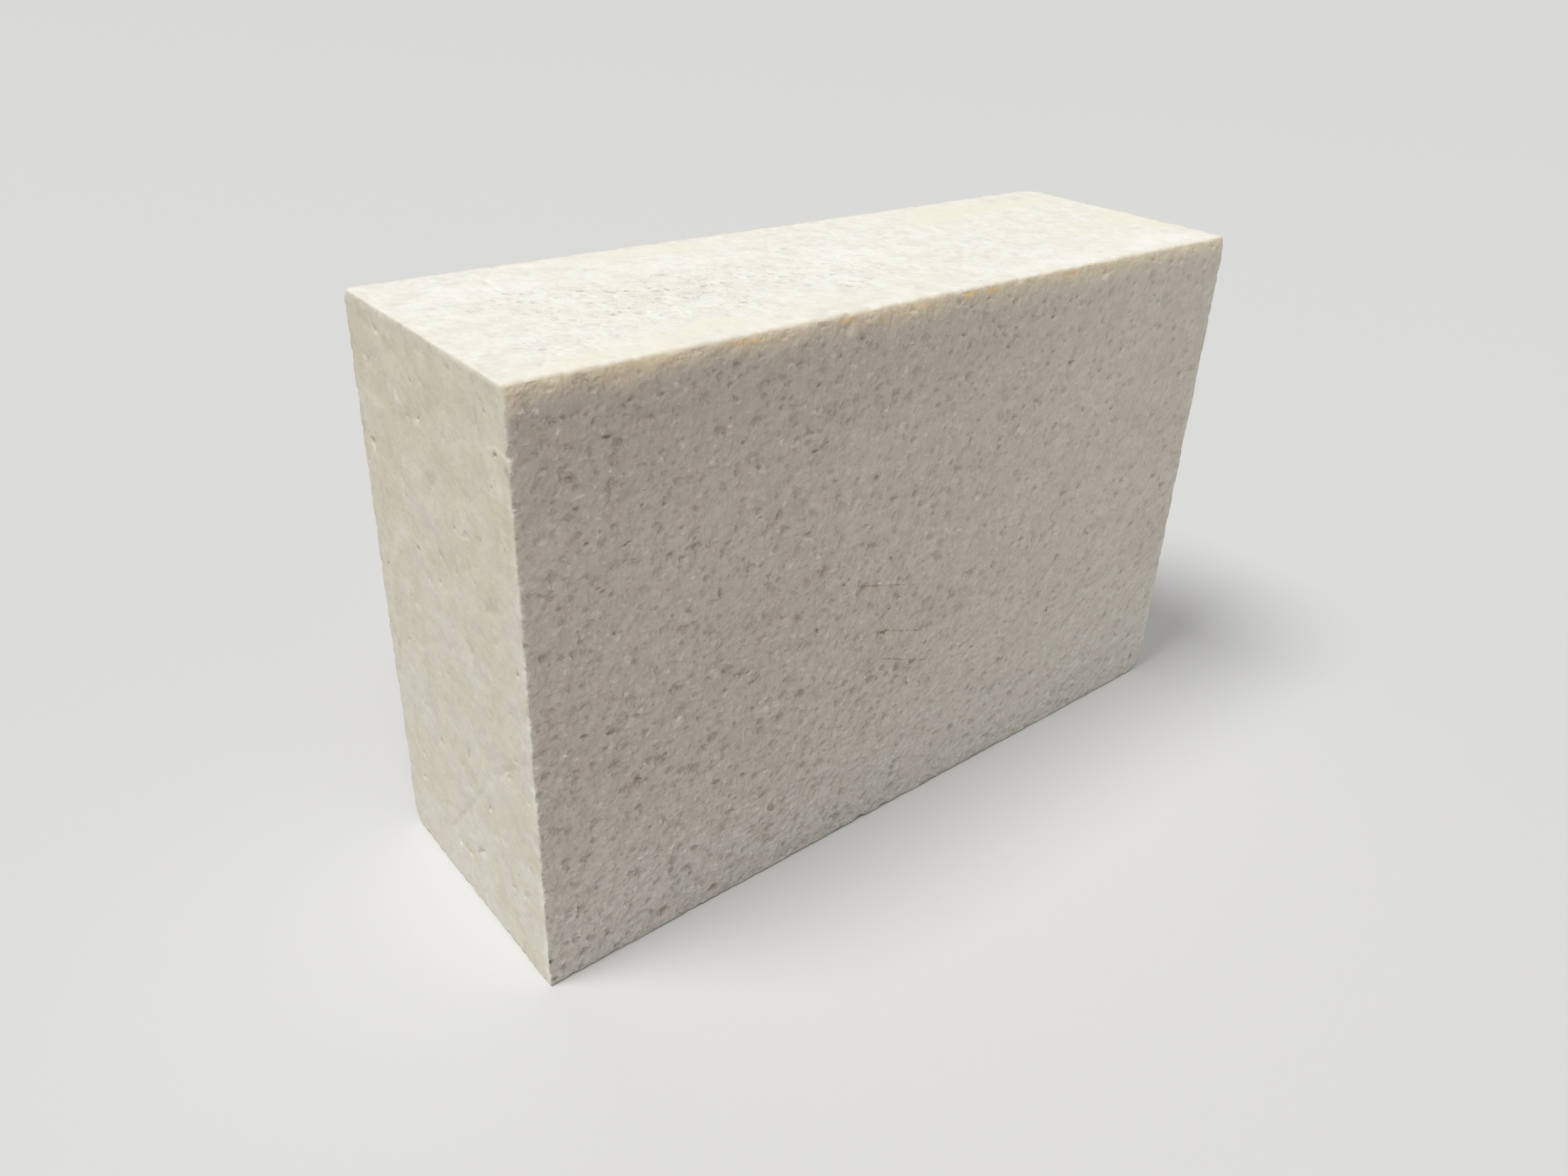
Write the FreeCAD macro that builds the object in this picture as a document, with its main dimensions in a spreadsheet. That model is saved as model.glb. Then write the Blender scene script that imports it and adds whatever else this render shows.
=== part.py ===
"""Straight refractory firebrick, pressed and fired in one piece, standing on its long narrow side.

The brick is a plain block of 230 x 150 x 75 mm with rounded arrises. Four of its corners have been
knocked in handling: each has lost a small flat flake, and the flake's edges are worn as round as
the arrises. Millimetres, +Z up, +X along the length, -Y towards the broad face that shows. The
origin is the middle of the face it stands on.
"""

import FreeCAD
import Part
import os
import Sketcher

# Driving dimensions in millimetres: name in the sheet, value, what it measures.
SIZES = [
    ("brick_length", 230.0, "long side, along X"),
    ("brick_thickness", 75.0, "short side, along Y"),
    ("brick_height", 150.0, "height as it stands, along Z"),
    ("arris_radius", 1.0, "rounding of every edge"),
    ("flake_low_front_right", 5.0, "length of edge lost at this corner"),
    ("flake_low_back_left", 3.5, "length of edge lost at this corner"),
    ("flake_top_back_right", 5.0, "length of edge lost at this corner"),
    ("flake_top_back_left", 2.5, "length of edge lost at this corner"),
]

# Knocked corners: size of the flake, and the corner's side along X, Y and Z.
KNOCKED_CORNERS = [
    ("flake_low_front_right", 1, -1, -1),
    ("flake_low_back_left", -1, 1, -1),
    ("flake_top_back_right", 1, 1, 1),
    ("flake_top_back_left", -1, 1, 1),
]

# Side of the cube that cuts a flake off, in flake lengths: ample to pass the whole corner.
CUTTER_SIDE = 3.0

# A flake's break crosses this many edges, at equal lengths from their corner.
EDGES_AT_A_CORNER = 3

# Numbers that a sketch gives to the ends of a line, and to its own origin.
LINE_START = 1
LINE_END = 2
SKETCH_ORIGIN = (-1, 1)

OUTPUT_FOLDER = "parts"
CUBIC_MM_PER_CUBIC_CM = 1000.0


def make_sheet(doc):
    """Write the driving dimensions into a spreadsheet, one aliased row each."""
    sheet = doc.addObject("Spreadsheet::Sheet", "Sizes")
    for row, (alias, value, meaning) in enumerate(SIZES, start=1):
        sheet.set(f"A{row}", meaning)
        sheet.set(f"B{row}", str(value))
        sheet.setAlias(f"B{row}", alias)
    doc.recompute()
    return sheet


def origin_plane(body, role):
    """Return the origin plane of the body that has this role, such as XY_Plane."""
    return next(plane for plane in body.Origin.OriginFeatures if plane.Role == role)


def draw_base_outline(body):
    """Draw the face the brick stands on: a rectangle about the origin, length along X."""
    sketch = body.newObject("Sketcher::SketchObject", "BaseOutline")
    sketch.AttachmentSupport = (origin_plane(body, "XY_Plane"), [""])
    sketch.MapMode = "FlatFace"
    half_length = body.Document.Sizes.brick_length / 2
    half_thickness = body.Document.Sizes.brick_thickness / 2
    corners = [
        FreeCAD.Vector(-half_length, -half_thickness, 0),
        FreeCAD.Vector(half_length, -half_thickness, 0),
        FreeCAD.Vector(half_length, half_thickness, 0),
        FreeCAD.Vector(-half_length, half_thickness, 0),
    ]
    front, right, back, left = range(len(corners))
    next_side = {front: right, right: back, back: left, left: front}
    for side, following in next_side.items():
        sketch.addGeometry(Part.LineSegment(corners[side], corners[following]))
    for side, following in next_side.items():
        sketch.addConstraint(
            Sketcher.Constraint("Coincident", side, LINE_END, following, LINE_START)
        )
    for side in (front, back):
        sketch.addConstraint(Sketcher.Constraint("Horizontal", side))
    for side in (right, left):
        sketch.addConstraint(Sketcher.Constraint("Vertical", side))
    sketch.addConstraint(
        Sketcher.Constraint("Symmetric", front, LINE_START, back, LINE_START, *SKETCH_ORIGIN)
    )
    length = sketch.addConstraint(Sketcher.Constraint("Distance", front, 2 * half_length))
    thickness = sketch.addConstraint(Sketcher.Constraint("Distance", right, 2 * half_thickness))
    sketch.setExpression(f"Constraints[{length}]", "Sizes.brick_length")
    sketch.setExpression(f"Constraints[{thickness}]", "Sizes.brick_thickness")
    return sketch


def press_block(body, outline):
    """Raise the base outline to the brick's height."""
    block = body.newObject("PartDesign::Pad", "Block")
    block.Profile = outline
    block.setExpression("Length", "Sizes.brick_height")
    return block


def knock_corner(body, flake, side_x, side_y, side_z):
    """Cut a flat flake off one corner, across the three edges that meet there.

    The cutter is a cube whose lower face lies in the plane of the break. That plane crosses each
    edge at the flake's size from the corner, so it faces along the corner's diagonal, and the
    middle of the break lies a third of the flake's size in from the corner along every edge.
    """
    cutter = body.newObject("PartDesign::SubtractiveBox", flake.title().replace("_", ""))
    up = FreeCAD.Vector(0, 0, 1)
    outward = FreeCAD.Vector(side_x, side_y, side_z)
    turn = FreeCAD.Rotation(up, outward)
    cutter.Placement = FreeCAD.Placement(FreeCAD.Vector(), turn)
    for edge in ("Length", "Width", "Height"):
        cutter.setExpression(edge, f"{CUTTER_SIDE} * Sizes.{flake}")

    # The cube's own corner lies half its side back from the middle of the break, both ways.
    half_side = CUTTER_SIDE / 2
    back_step = turn.multVec(FreeCAD.Vector(-half_side, -half_side, 0))
    start = back_step - outward / EDGES_AT_A_CORNER
    at_top = max(side_z, 0)
    places = {
        "x": f"{side_x} * Sizes.brick_length / 2 + ({start.x:.12f}) * Sizes.{flake}",
        "y": f"{side_y} * Sizes.brick_thickness / 2 + ({start.y:.12f}) * Sizes.{flake}",
        "z": f"{at_top} * Sizes.brick_height + ({start.z:.12f}) * Sizes.{flake}",
    }
    for axis, place in places.items():
        cutter.setExpression(f"Placement.Base.{axis}", place)
    return cutter


def round_arrises(body, block):
    """Round every edge, those of the broken corners as well."""
    arrises = body.newObject("PartDesign::Fillet", "Arrises")
    arrises.Base = (block, [""])
    arrises.UseAllEdges = True
    arrises.setExpression("Radius", "Sizes.arris_radius")
    return arrises


def make_firebrick(doc):
    """Build the brick: pressed block, knocked corners, worn arrises."""
    body = doc.addObject("PartDesign::Body", "Firebrick")
    body.Label = "firebrick"
    feature = press_block(body, draw_base_outline(body))
    doc.recompute()
    for flake, side_x, side_y, side_z in KNOCKED_CORNERS:
        feature = knock_corner(body, flake, side_x, side_y, side_z)
        doc.recompute()
    round_arrises(body, feature)
    return body


def check_document(doc, sub_parts):
    """Stop if any object failed to compute or any sub-part isn't one sound solid."""
    for item in doc.Objects:
        if {"Invalid", "Error"} & set(item.State):
            raise RuntimeError(f"{item.Label} failed: {item.State}")
    for part in sub_parts:
        if part.Shape.isNull() or not part.Shape.isValid() or len(part.Shape.Solids) != 1:
            raise RuntimeError(f"{part.Label} isn't one valid solid")


def main():
    doc = FreeCAD.newDocument("FirebrickDocument")
    make_sheet(doc)
    sub_parts = [make_firebrick(doc)]
    doc.recompute()
    check_document(doc, sub_parts)
    os.makedirs(OUTPUT_FOLDER, exist_ok=True)
    for part in sub_parts:
        part.Shape.exportStep(os.path.join(OUTPUT_FOLDER, f"{part.Label}.step"))
        box = part.Shape.BoundBox
        volume = part.Shape.Volume / CUBIC_MM_PER_CUBIC_CM
        print(
            f"{part.Label}: {box.XLength:.2f} x {box.YLength:.2f} x {box.ZLength:.2f} mm,",
            f"{volume:.1f} cm3, {len(part.Shape.Faces)} faces",
        )


main()
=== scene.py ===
# %% [markdown]
# # A worn firebrick
#
# The object is one straight firebrick that stands on its long narrow side. It was pressed from crushed
# fired clay and fired in one piece, so there is nothing to take apart: all of its character is in the
# skin. The CAD solid gives the true size, the rounded arrises and the knocked corners, and this lesson
# dresses it with everything that is too fine or too ragged for a solid. First the frame is loaded, and
# its box is kept, because the dressed brick must not grow past it.

# %% Frame and units
import itertools
import math

import bpy
import numpy as np
from mathutils import Matrix, Vector


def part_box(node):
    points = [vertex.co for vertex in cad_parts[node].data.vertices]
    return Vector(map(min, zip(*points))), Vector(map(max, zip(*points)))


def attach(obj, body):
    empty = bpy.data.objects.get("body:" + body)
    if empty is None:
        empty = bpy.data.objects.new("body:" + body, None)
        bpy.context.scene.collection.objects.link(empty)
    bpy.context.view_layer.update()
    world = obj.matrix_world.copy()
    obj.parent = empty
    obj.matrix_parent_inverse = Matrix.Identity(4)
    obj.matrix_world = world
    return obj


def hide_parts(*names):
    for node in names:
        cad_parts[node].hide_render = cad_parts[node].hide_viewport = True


MM = 0.001
X, Y, Z = 0, 1, 2

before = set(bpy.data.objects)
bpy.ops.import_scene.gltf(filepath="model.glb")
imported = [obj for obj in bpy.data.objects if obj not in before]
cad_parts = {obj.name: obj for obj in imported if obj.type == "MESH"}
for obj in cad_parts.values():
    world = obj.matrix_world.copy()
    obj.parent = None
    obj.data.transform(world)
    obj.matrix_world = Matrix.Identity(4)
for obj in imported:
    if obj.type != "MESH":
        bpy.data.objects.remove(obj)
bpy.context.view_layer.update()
box_low, box_high = (np.array(corner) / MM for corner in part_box("firebrick"))
box_middle = (box_low + box_high) / 2
box_half = (box_high - box_low) / 2
print("Brick in the frame, mm:", box_low.round(2), "to", box_high.round(2))

# %% [markdown]
# ## Camera
#
# A camera can be placed by eye, but a brick has seven corners in view and a known shape, so its place,
# turn and lens follow from where those corners lie in the picture. These are the results. The aim of
# the lens is a little off the middle of the picture, which Blender calls shift.

# %% Camera
PICTURE_WIDTH_PX = 2212
SENSOR_WIDTH = 36.0
CAMERA_EYE = (-203.92, -223.65, 225.20)
CAMERA_HEADING_DEG = -41.55
CAMERA_DOWN_DEG = 27.66
CAMERA_ROLL_DEG = 2.95
CAMERA_LENS = 27.289
AIM_RIGHT_PX = 43.6
AIM_DOWN_PX = -59.5
STRAIGHT_DOWN_TO_LEVEL_DEG = 90
MATRIX_SIZE = 4


def make_camera():
    """A level camera that looks along +Y is rolled about its own line of sight, tipped down and turned."""
    lens = bpy.data.cameras.new("brick_camera")
    lens.sensor_width = SENSOR_WIDTH
    lens.lens = CAMERA_LENS
    lens.shift_x = -AIM_RIGHT_PX / PICTURE_WIDTH_PX
    lens.shift_y = AIM_DOWN_PX / PICTURE_WIDTH_PX
    camera = bpy.data.objects.new("brick_camera", lens)
    tip_deg = STRAIGHT_DOWN_TO_LEVEL_DEG - CAMERA_DOWN_DEG
    heading = Matrix.Rotation(math.radians(CAMERA_HEADING_DEG), MATRIX_SIZE, "Z")
    tip = Matrix.Rotation(math.radians(tip_deg), MATRIX_SIZE, "X")
    roll = Matrix.Rotation(math.radians(CAMERA_ROLL_DEG), MATRIX_SIZE, "Z")
    camera.matrix_world = Matrix.Translation(Vector(CAMERA_EYE) * MM) @ heading @ tip @ roll
    bpy.context.scene.collection.objects.link(camera)
    bpy.context.scene.camera = camera


make_camera()
print(f"Camera stands {Vector(CAMERA_EYE).length:.0f} mm from the middle of the base")

# %% [markdown]
# ## Light
#
# The picture shows a bright top, a left end about two thirds as bright and a broad face in soft shade,
# so the main light stands above and a little behind, on the left. A second, weaker light comes from
# above in front: it skims down the broad face, so every pit shows a dark upper wall and a light lower
# lip. Suns are used because they light the whole brick evenly, and a wide angle makes them as soft as a
# studio's light boxes. The plain background of the world fills the rest.

# %% Light
# Suns: name, where the light comes from, and power.
SUNS = [
    ("main_light", (-0.42, 0.10, 0.90), 2.15),
    ("front_light", (-0.26, -0.36, 0.90), 1.20),
]
SOFT_ANGLE_DEG = 24
FILL_COLOUR = (1.0, 0.97, 0.93, 1.0)
FILL_STRENGTH = 0.16


def make_sun(name, comes_from, power):
    """A soft sun whose own -Z axis points away from where its light comes from."""
    light = bpy.data.lights.new(name, "SUN")
    light.energy = power
    light.angle = math.radians(SOFT_ANGLE_DEG)
    sun = bpy.data.objects.new(name, light)
    sun.rotation_mode = "QUATERNION"
    sun.rotation_quaternion = Vector(comes_from).to_track_quat("Z", "Y")
    bpy.context.scene.collection.objects.link(sun)


def make_world():
    """An even background that fills the shadows."""
    world = bpy.data.worlds.new("studio_fill")
    world.use_nodes = True
    background = world.node_tree.nodes["Background"]
    background.inputs["Color"].default_value = FILL_COLOUR
    background.inputs["Strength"].default_value = FILL_STRENGTH
    bpy.context.scene.world = world


for sun in SUNS:
    make_sun(*sun)
make_world()
bpy.context.scene.view_settings.view_transform = "Standard"
print("Lit by", len(SUNS), "suns and an even fill")

# %% [markdown]
# ## Floor
#
# The floor is one pale sheet at the height of the brick's base, so large that its far edge lies above the
# picture. It is there for the pictures only.

# %% Floor
FLOOR_HALF_SIZE = 40.0
FLOOR_COLOUR = (0.64, 0.64, 0.63, 1.0)
FLOOR_ROUGHNESS = 0.9


def make_floor():
    """One square sheet at the height of the brick's base."""
    half = FLOOR_HALF_SIZE
    level = box_low[Z] * MM
    corners = [(-half, -half, level), (half, -half, level), (half, half, level), (-half, half, level)]
    mesh = bpy.data.meshes.new("studio_floor")
    mesh.from_pydata(corners, [], [(0, 1, 2, 3)])
    paint = bpy.data.materials.new("floor_paper")
    paint.use_nodes = True
    shader = paint.node_tree.nodes["Principled BSDF"]
    shader.inputs["Base Color"].default_value = FLOOR_COLOUR
    shader.inputs["Roughness"].default_value = FLOOR_ROUGHNESS
    mesh.materials.append(paint)
    floor = bpy.data.objects.new("studio_floor", mesh)
    bpy.context.scene.collection.objects.link(floor)


make_floor()
print("Floor of", 2 * FLOOR_HALF_SIZE, "m square")

# %% [markdown]
# ## The brick as a lattice
#
# A brick could be sculpted, or a cube could be subdivided and displaced, but neither knows where an
# arris is. Here the skin starts as the outside of a lattice of points: straight lines along each side,
# close together near the arrises, where the wear is, and further apart on the flats. Each side of the
# block is then a plain grid, on which a mark can be placed in millimetres, and a point on an arris is
# shared by both of its sides, so the surface is closed from the start.

# %% Lattice
ARRIS_STEP = 0.2
FLAT_STEP = 0.42
GRADE_REACH = 4.0
SAMPLES_TO_A_MM = 50


def graded_lines(low, high):
    """Places along one side, close together at both ends and wider apart between.

    One over the wanted step is the number of lines to a millimetre. Its running sum, stretched to end on
    a whole number, counts the lines, and the places are where that count is a whole number.
    """
    flat_step = FLAT_STEP
    places = np.linspace(low, high, int((high - low) * SAMPLES_TO_A_MM))
    from_end = np.minimum(places - low, high - places)
    step = ARRIS_STEP + (flat_step - ARRIS_STEP) * np.clip(from_end / GRADE_REACH, 0, 1)
    count = np.concatenate([[0], np.cumsum(np.diff(places) / step[1:])])
    total = round(count[-1])
    return np.interp(np.arange(total + 1), count * total / count[-1], places)


def shell_of(lines):
    """The outside of a block of lattice points: points, quads and a grid of point numbers for each side.

    A lattice point's code is its place along X, plus its place along Y and Z times the points in a row
    and in a layer. Points that two or three sides share have one code, so numbering each code once joins
    the sides.
    """
    counts = [len(places) for places in lines]
    strides = (1, counts[X], counts[X] * counts[Y])
    grids = {}
    for axis, side in itertools.product((X, Y, Z), (0, 1)):
        across = (axis + 1) % 3
        up = (axis + 2) % 3
        codes = strides[across] * np.arange(counts[across])[:, None]
        codes = codes + strides[up] * np.arange(counts[up])[None, :]
        grids[axis, side] = codes + side * strides[axis] * (counts[axis] - 1)
    every_code = np.concatenate([grid.ravel() for grid in grids.values()])
    codes, numbers = np.unique(every_code, return_inverse=True)
    ends = np.cumsum([grid.size for grid in grids.values()])[:-1]
    quads = []
    for key, run in zip(grids, np.split(numbers, ends)):
        grid = run.reshape(grids[key].shape)
        grids[key] = grid
        ring = np.stack([grid[:-1, :-1], grid[1:, :-1], grid[1:, 1:], grid[:-1, 1:]], axis=-1)
        ring = ring.reshape(-1, 4)
        outward = ring if key[1] == 1 else ring[:, ::-1]
        quads.append(outward)
    layer, within = np.divmod(codes, strides[Z])
    row, column = np.divmod(within, strides[Y])
    points = np.stack([lines[X][column], lines[Y][row], lines[Z][layer]], axis=1)
    return points, np.concatenate(quads), grids


lattice_lines = [graded_lines(box_low[axis], box_high[axis]) for axis in (X, Y, Z)]
start_points, quads, side_grids = shell_of(lattice_lines)
print("Lattice:", [len(places) for places in lattice_lines], "lines and", len(start_points), "points")

# %% [markdown]
# ## Noise to wear it with
#
# Wear is uneven at every scale. Blender has noise textures for materials, but the shape needs the same
# kind of number in numpy, so that a chip, its shade and its colour can all follow one field. This is
# value noise: a random number at each corner of a grid of cells, blended smoothly in between.

# %% Noise
NOISE_TABLE = 1024
NOISE_MIDDLE = 0.5


def value_noise(points, cell, seed):
    """A smooth random number from 0 to 1 at each point.

    The corners of a grid with this cell size, one number or one for each axis, get random numbers from a
    shuffled table. The eight round a point are blended with weights of 3t^2 - 2t^3 along each axis.
    """
    shuffled = np.random.default_rng(seed).permutation(NOISE_TABLE)
    place = points / np.asarray(cell, dtype=float)
    corner = np.floor(place).astype(np.int64)
    part = place - corner
    part = part * part * (3 - 2 * part)
    total = np.zeros(len(points))
    for step in itertools.product((0, 1), repeat=3):
        x, y, z = ((corner + step) % NOISE_TABLE).T
        picked = shuffled[(shuffled[(shuffled[x] + y) % NOISE_TABLE] + z) % NOISE_TABLE]
        total += np.where(step, part, 1 - part).prod(axis=1) * picked
    return total / (NOISE_TABLE - 1)


def layered_noise(points, cell, seed, layers):
    """Value noise with finer noise on top: each layer has half the cell and half the strength of the last.

    Where a noise has a name, its settings are its cell in millimetres, its seed and its layers.
    """
    strengths = 0.5 ** np.arange(layers)
    sizes = np.asarray(cell, dtype=float) * strengths[:, None]
    sums = sum(s * value_noise(points, size, seed + k) for k, (s, size) in enumerate(zip(strengths, sizes)))
    return sums / strengths.sum()


def ramp(value, start, end):
    """0 before start, 1 after end, and 3t^2 - 2t^3 between."""
    part = np.clip((value - start) / (end - start), 0, 1)
    return part * part * (3 - 2 * part)


print("Noise from a table of", NOISE_TABLE, "numbers")

# %% [markdown]
# ## Six sides to read
#
# Marks on the brick were read off with a ruler laid on each face: so far to the right, so far down. This
# cell gives each side of the lattice that reading frame, and a set of layers to draw on. Relief is a
# depth in millimetres, and the distance off a scratch is in millimetres too. Marked places keep all of
# their points when the mesh is thinned. The other layers say how much of a finish shows, from 0 to 1.

# %% Sides
FINISHES = ("hollow", "dented", "soot", "rust", "chalk", "cream", "warm", "amber", "scratch", "scratch_off")
LAYERS = ("relief", "marked") + FINISHES
EVERYWHERE = np.s_[:, :]

# Side of the block: its axis and end, then the axis and sign read to the right, and those read downwards.
SIDES = {
    "front": (Y, 0, X, 1, Z, -1),
    "back": (Y, 1, X, -1, Z, -1),
    "left_end": (X, 0, Y, -1, Z, -1),
    "right_end": (X, 1, Y, 1, Z, -1),
    "top": (Z, 1, X, 1, Y, -1),
    "bottom": (Z, 0, X, 1, Y, 1),
}


class Side:
    """One face of the brick: its point numbers as a grid, millimetres read right and down, and its layers."""

    def __init__(self, axis, end, right_axis, right_sign, down_axis, down_sign):
        grid = side_grids[axis, end]
        self.numbers = grid if (axis + 1) % 3 == right_axis else grid.T
        self.right = self.read(right_axis, right_sign)
        self.down = self.read(down_axis, down_sign)
        self.wide = self.right.max()
        self.tall = self.down.max()
        from_ends = np.minimum(self.right, self.wide - self.right)[:, None]
        self.border = np.minimum(from_ends, np.minimum(self.down, self.tall - self.down)[None, :])
        self.layers = {name: np.zeros(self.numbers.shape) for name in LAYERS}
        self.points = np.stack(np.meshgrid(self.right, self.down, indexing="ij"), axis=-1)

    @staticmethod
    def read(axis, sign):
        """Distance of each lattice line from the end of the axis where reading starts."""
        start = box_low[axis] if sign > 0 else box_high[axis]
        return (lattice_lines[axis] - start) * sign

    def noise(self, cell, seed, layers, lean=0.0):
        """Layered noise over the whole face, with its cells turned by the lean, in degrees."""
        turn = math.radians(lean)
        right, down = np.moveaxis(self.points, -1, 0)
        along = right * math.cos(turn) + down * math.sin(turn)
        over = down * math.cos(turn) - right * math.sin(turn)
        turned = np.stack([along, over, np.zeros_like(along)], axis=-1)
        cells = np.append(np.broadcast_to(cell, 2), 1.0)
        return layered_noise(turned.reshape(-1, 3), cells, seed, layers).reshape(self.numbers.shape)

    def window(self, right, down, reach):
        """The part of the grid that lies within reach of a place."""
        columns = np.flatnonzero(np.abs(self.right - right) <= reach)
        rows = np.flatnonzero(np.abs(self.down - down) <= reach)
        if len(columns) == 0 or len(rows) == 0:
            return None
        return np.s_[columns[0] : columns[-1] + 1, rows[0] : rows[-1] + 1]

    def lay(self, layer, window, value):
        """Keep the larger of what the layer has and what is laid on it."""
        here = self.layers[layer][window]
        np.maximum(here, value, out=here)


sides = {name: Side(*reading) for name, reading in SIDES.items()}
for name, side in sides.items():
    print(f"{name}: {side.wide:.0f} x {side.tall:.0f} mm, {side.numbers.size} points")

# %% [markdown]
# ## Pits and grains
#
# Crushed fired clay leaves a broken surface where grains have dropped out or show as small angular
# patches. Each is drawn as a ragged oval: inside it the skin sinks to a flat floor, and the floor holds
# some dirt, so it is darker. A hollow with hardly any depth is a grain that shows its own colour.

# %% Spots
RIM_WANDER = (0.20, 0.12)
RIM_WAVES = (3, 5)
WALL_SHARE = 0.8
STAIN_SHARE = 0.55
SPOT_REACH = 0.7


def ragged_spot(side, right, down, wide, tall, lean, phases):
    """Where a ragged oval lies on a side, and how far inside it each point is: 1 in the middle, 0 at the rim.

    The rim is an ellipse whose radius wanders by sine waves of three and five turns. The lean says by how
    many degrees its right end drops. A spot that lies off the side gives nothing.
    """
    window = side.window(right, down, max(wide, tall) * SPOT_REACH)
    if window is None:
        return None, None
    turn = math.radians(lean)
    to_right, to_down = np.moveaxis(side.points[window] - (right, down), -1, 0)
    along = (to_right * math.cos(turn) + to_down * math.sin(turn)) / (wide / 2)
    over = (to_down * math.cos(turn) - to_right * math.sin(turn)) / (tall / 2)
    around = np.arctan2(over, along)
    rim = 1 + sum(
        size * np.sin(waves * around + phase) for size, waves, phase in zip(RIM_WANDER, RIM_WAVES, phases)
    )
    return window, np.clip(1 - np.hypot(along, over) / rim, 0, 1)


def sink(side, spot, depth, dirt, phases):
    """A hollow: walls slope over part of the way in, then the floor is flat. Dirt darkens wall and floor."""
    window, inside = ragged_spot(side, *spot, phases)
    if window is not None:
        side.lay("relief", window, depth * ramp(inside, 0, WALL_SHARE))
        side.lay("hollow", window, dirt * ramp(inside, 0, STAIN_SHARE))


def colour_spot(side, layer, spot, strength, phases):
    """A spot of one finish on the skin, with no depth."""
    window, inside = ragged_spot(side, *spot, phases)
    if window is not None:
        side.lay(layer, window, strength * ramp(inside, 0, STAIN_SHARE))


print("Rims wander by", RIM_WANDER, "of a radius")

# %% [markdown]
# Most pits are small, and there are far too many to place by hand, so each side gets a crowd of them: one
# random pit to each cell of a square grid, which keeps them from piling up by chance. On the broad faces
# the crowd gathers here and thins out there. The top and bottom have a thin crowd all over and a close one
# round one place.

# %% Scattered pits
PIT_SPREAD = 0.32
PIT_RADII = (0.4, 2.0)
PIT_KEPT_RADIUS = 0.7
PIT_SLIMNESS = (0.60, 1.00)
PIT_LEAN_DEG = 25
PIT_LEAN_SPREAD_DEG = 45
PIT_STEEPNESS = (0.20, 0.60)
PIT_DIRT = (0.0, 0.60)
CLUSTER_SHARE = (0.25, 1.0)
CLUSTER_RAMP = (0.3, 0.7)
CLUSTER_NOISE = (15.0, 19, 1)

# The pitted place of the top and bottom: its middle, right and down, and its reach each way.
PITTED_PLACE = (57.0, 36.0)
PITTED_REACH = (24.0, 12.0)


def all_of_them(places):
    """Share of pits kept at each place: no pit is left out."""
    return np.ones(len(places))


def in_pitted_place(places):
    """Share of pits kept at each place: all in the middle of the pitted place, few beyond its reach."""
    away = (places - PITTED_PLACE) / PITTED_REACH
    return np.exp(-np.sum(away**2, axis=1))


def in_clusters(places):
    """Share of pits kept at each place: it wanders, so that the pits gather here and thin out there."""
    flat = np.column_stack([places, np.zeros(len(places))])
    crowd = ramp(layered_noise(flat, *CLUSTER_NOISE), *CLUSTER_RAMP)
    return CLUSTER_SHARE[0] + np.ptp(CLUSTER_SHARE) * crowd


def scattered_places(side, pitch, rng):
    """One random place in each cell of a square grid over the side, as columns right and down."""
    columns = np.arange(math.ceil(side.wide / pitch))
    rows = np.arange(math.ceil(side.tall / pitch))
    cells = np.stack(np.meshgrid(columns, rows, indexing="ij"), axis=-1).reshape(-1, 2)
    return (cells + rng.random(cells.shape)) * pitch


def scatter_pits(side, pitch, radius, seed, share_kept):
    """Random pits over a side, one to a cell, of log-normal size about the given radius.

    share_kept is a function of the places. A pit large enough to show is noted as marked.
    """
    rng = np.random.default_rng(seed)
    places = scattered_places(side, pitch, rng)
    count = len(places)
    half_wide = np.clip(radius * np.exp(rng.normal(0, PIT_SPREAD, count)), *PIT_RADII)
    slim = rng.uniform(*PIT_SLIMNESS, count)
    lean = rng.normal(PIT_LEAN_DEG, PIT_LEAN_SPREAD_DEG, count)
    steep = rng.uniform(*PIT_STEEPNESS, count)
    dirt = rng.uniform(*PIT_DIRT, count)
    phases = rng.uniform(0, math.tau, (count, len(RIM_WAVES)))
    kept = np.flatnonzero(rng.random(count) < share_kept(places))
    for k in kept:
        spot = (*places[k], 2 * half_wide[k], 2 * half_wide[k] * slim[k], lean[k])
        sink(side, spot, half_wide[k] * steep[k], dirt[k], phases[k])
        if half_wide[k] > PIT_KEPT_RADIUS:
            colour_spot(side, "marked", spot, 1, phases[k])
    return len(kept)


# Crowds: side, pitch of the grid in mm, radius of a middling pit in mm, seed, and the share of pits kept.
CROWDS = [
    ("front", 4.4, 0.9, 11, in_clusters),
    ("back", 5.4, 0.9, 12, in_clusters),
    ("left_end", 7.0, 0.5, 13, all_of_them),
    ("right_end", 7.0, 0.5, 14, all_of_them),
    ("top", 7.0, 0.5, 15, all_of_them),
    ("bottom", 7.0, 0.5, 16, all_of_them),
    ("top", 2.3, 0.48, 17, in_pitted_place),
    ("bottom", 2.3, 0.48, 18, in_pitted_place),
]
for name, *crowd in CROWDS:
    count = scatter_pits(sides[name], *crowd)
    print(f"{name}: {count} pits")
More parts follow.
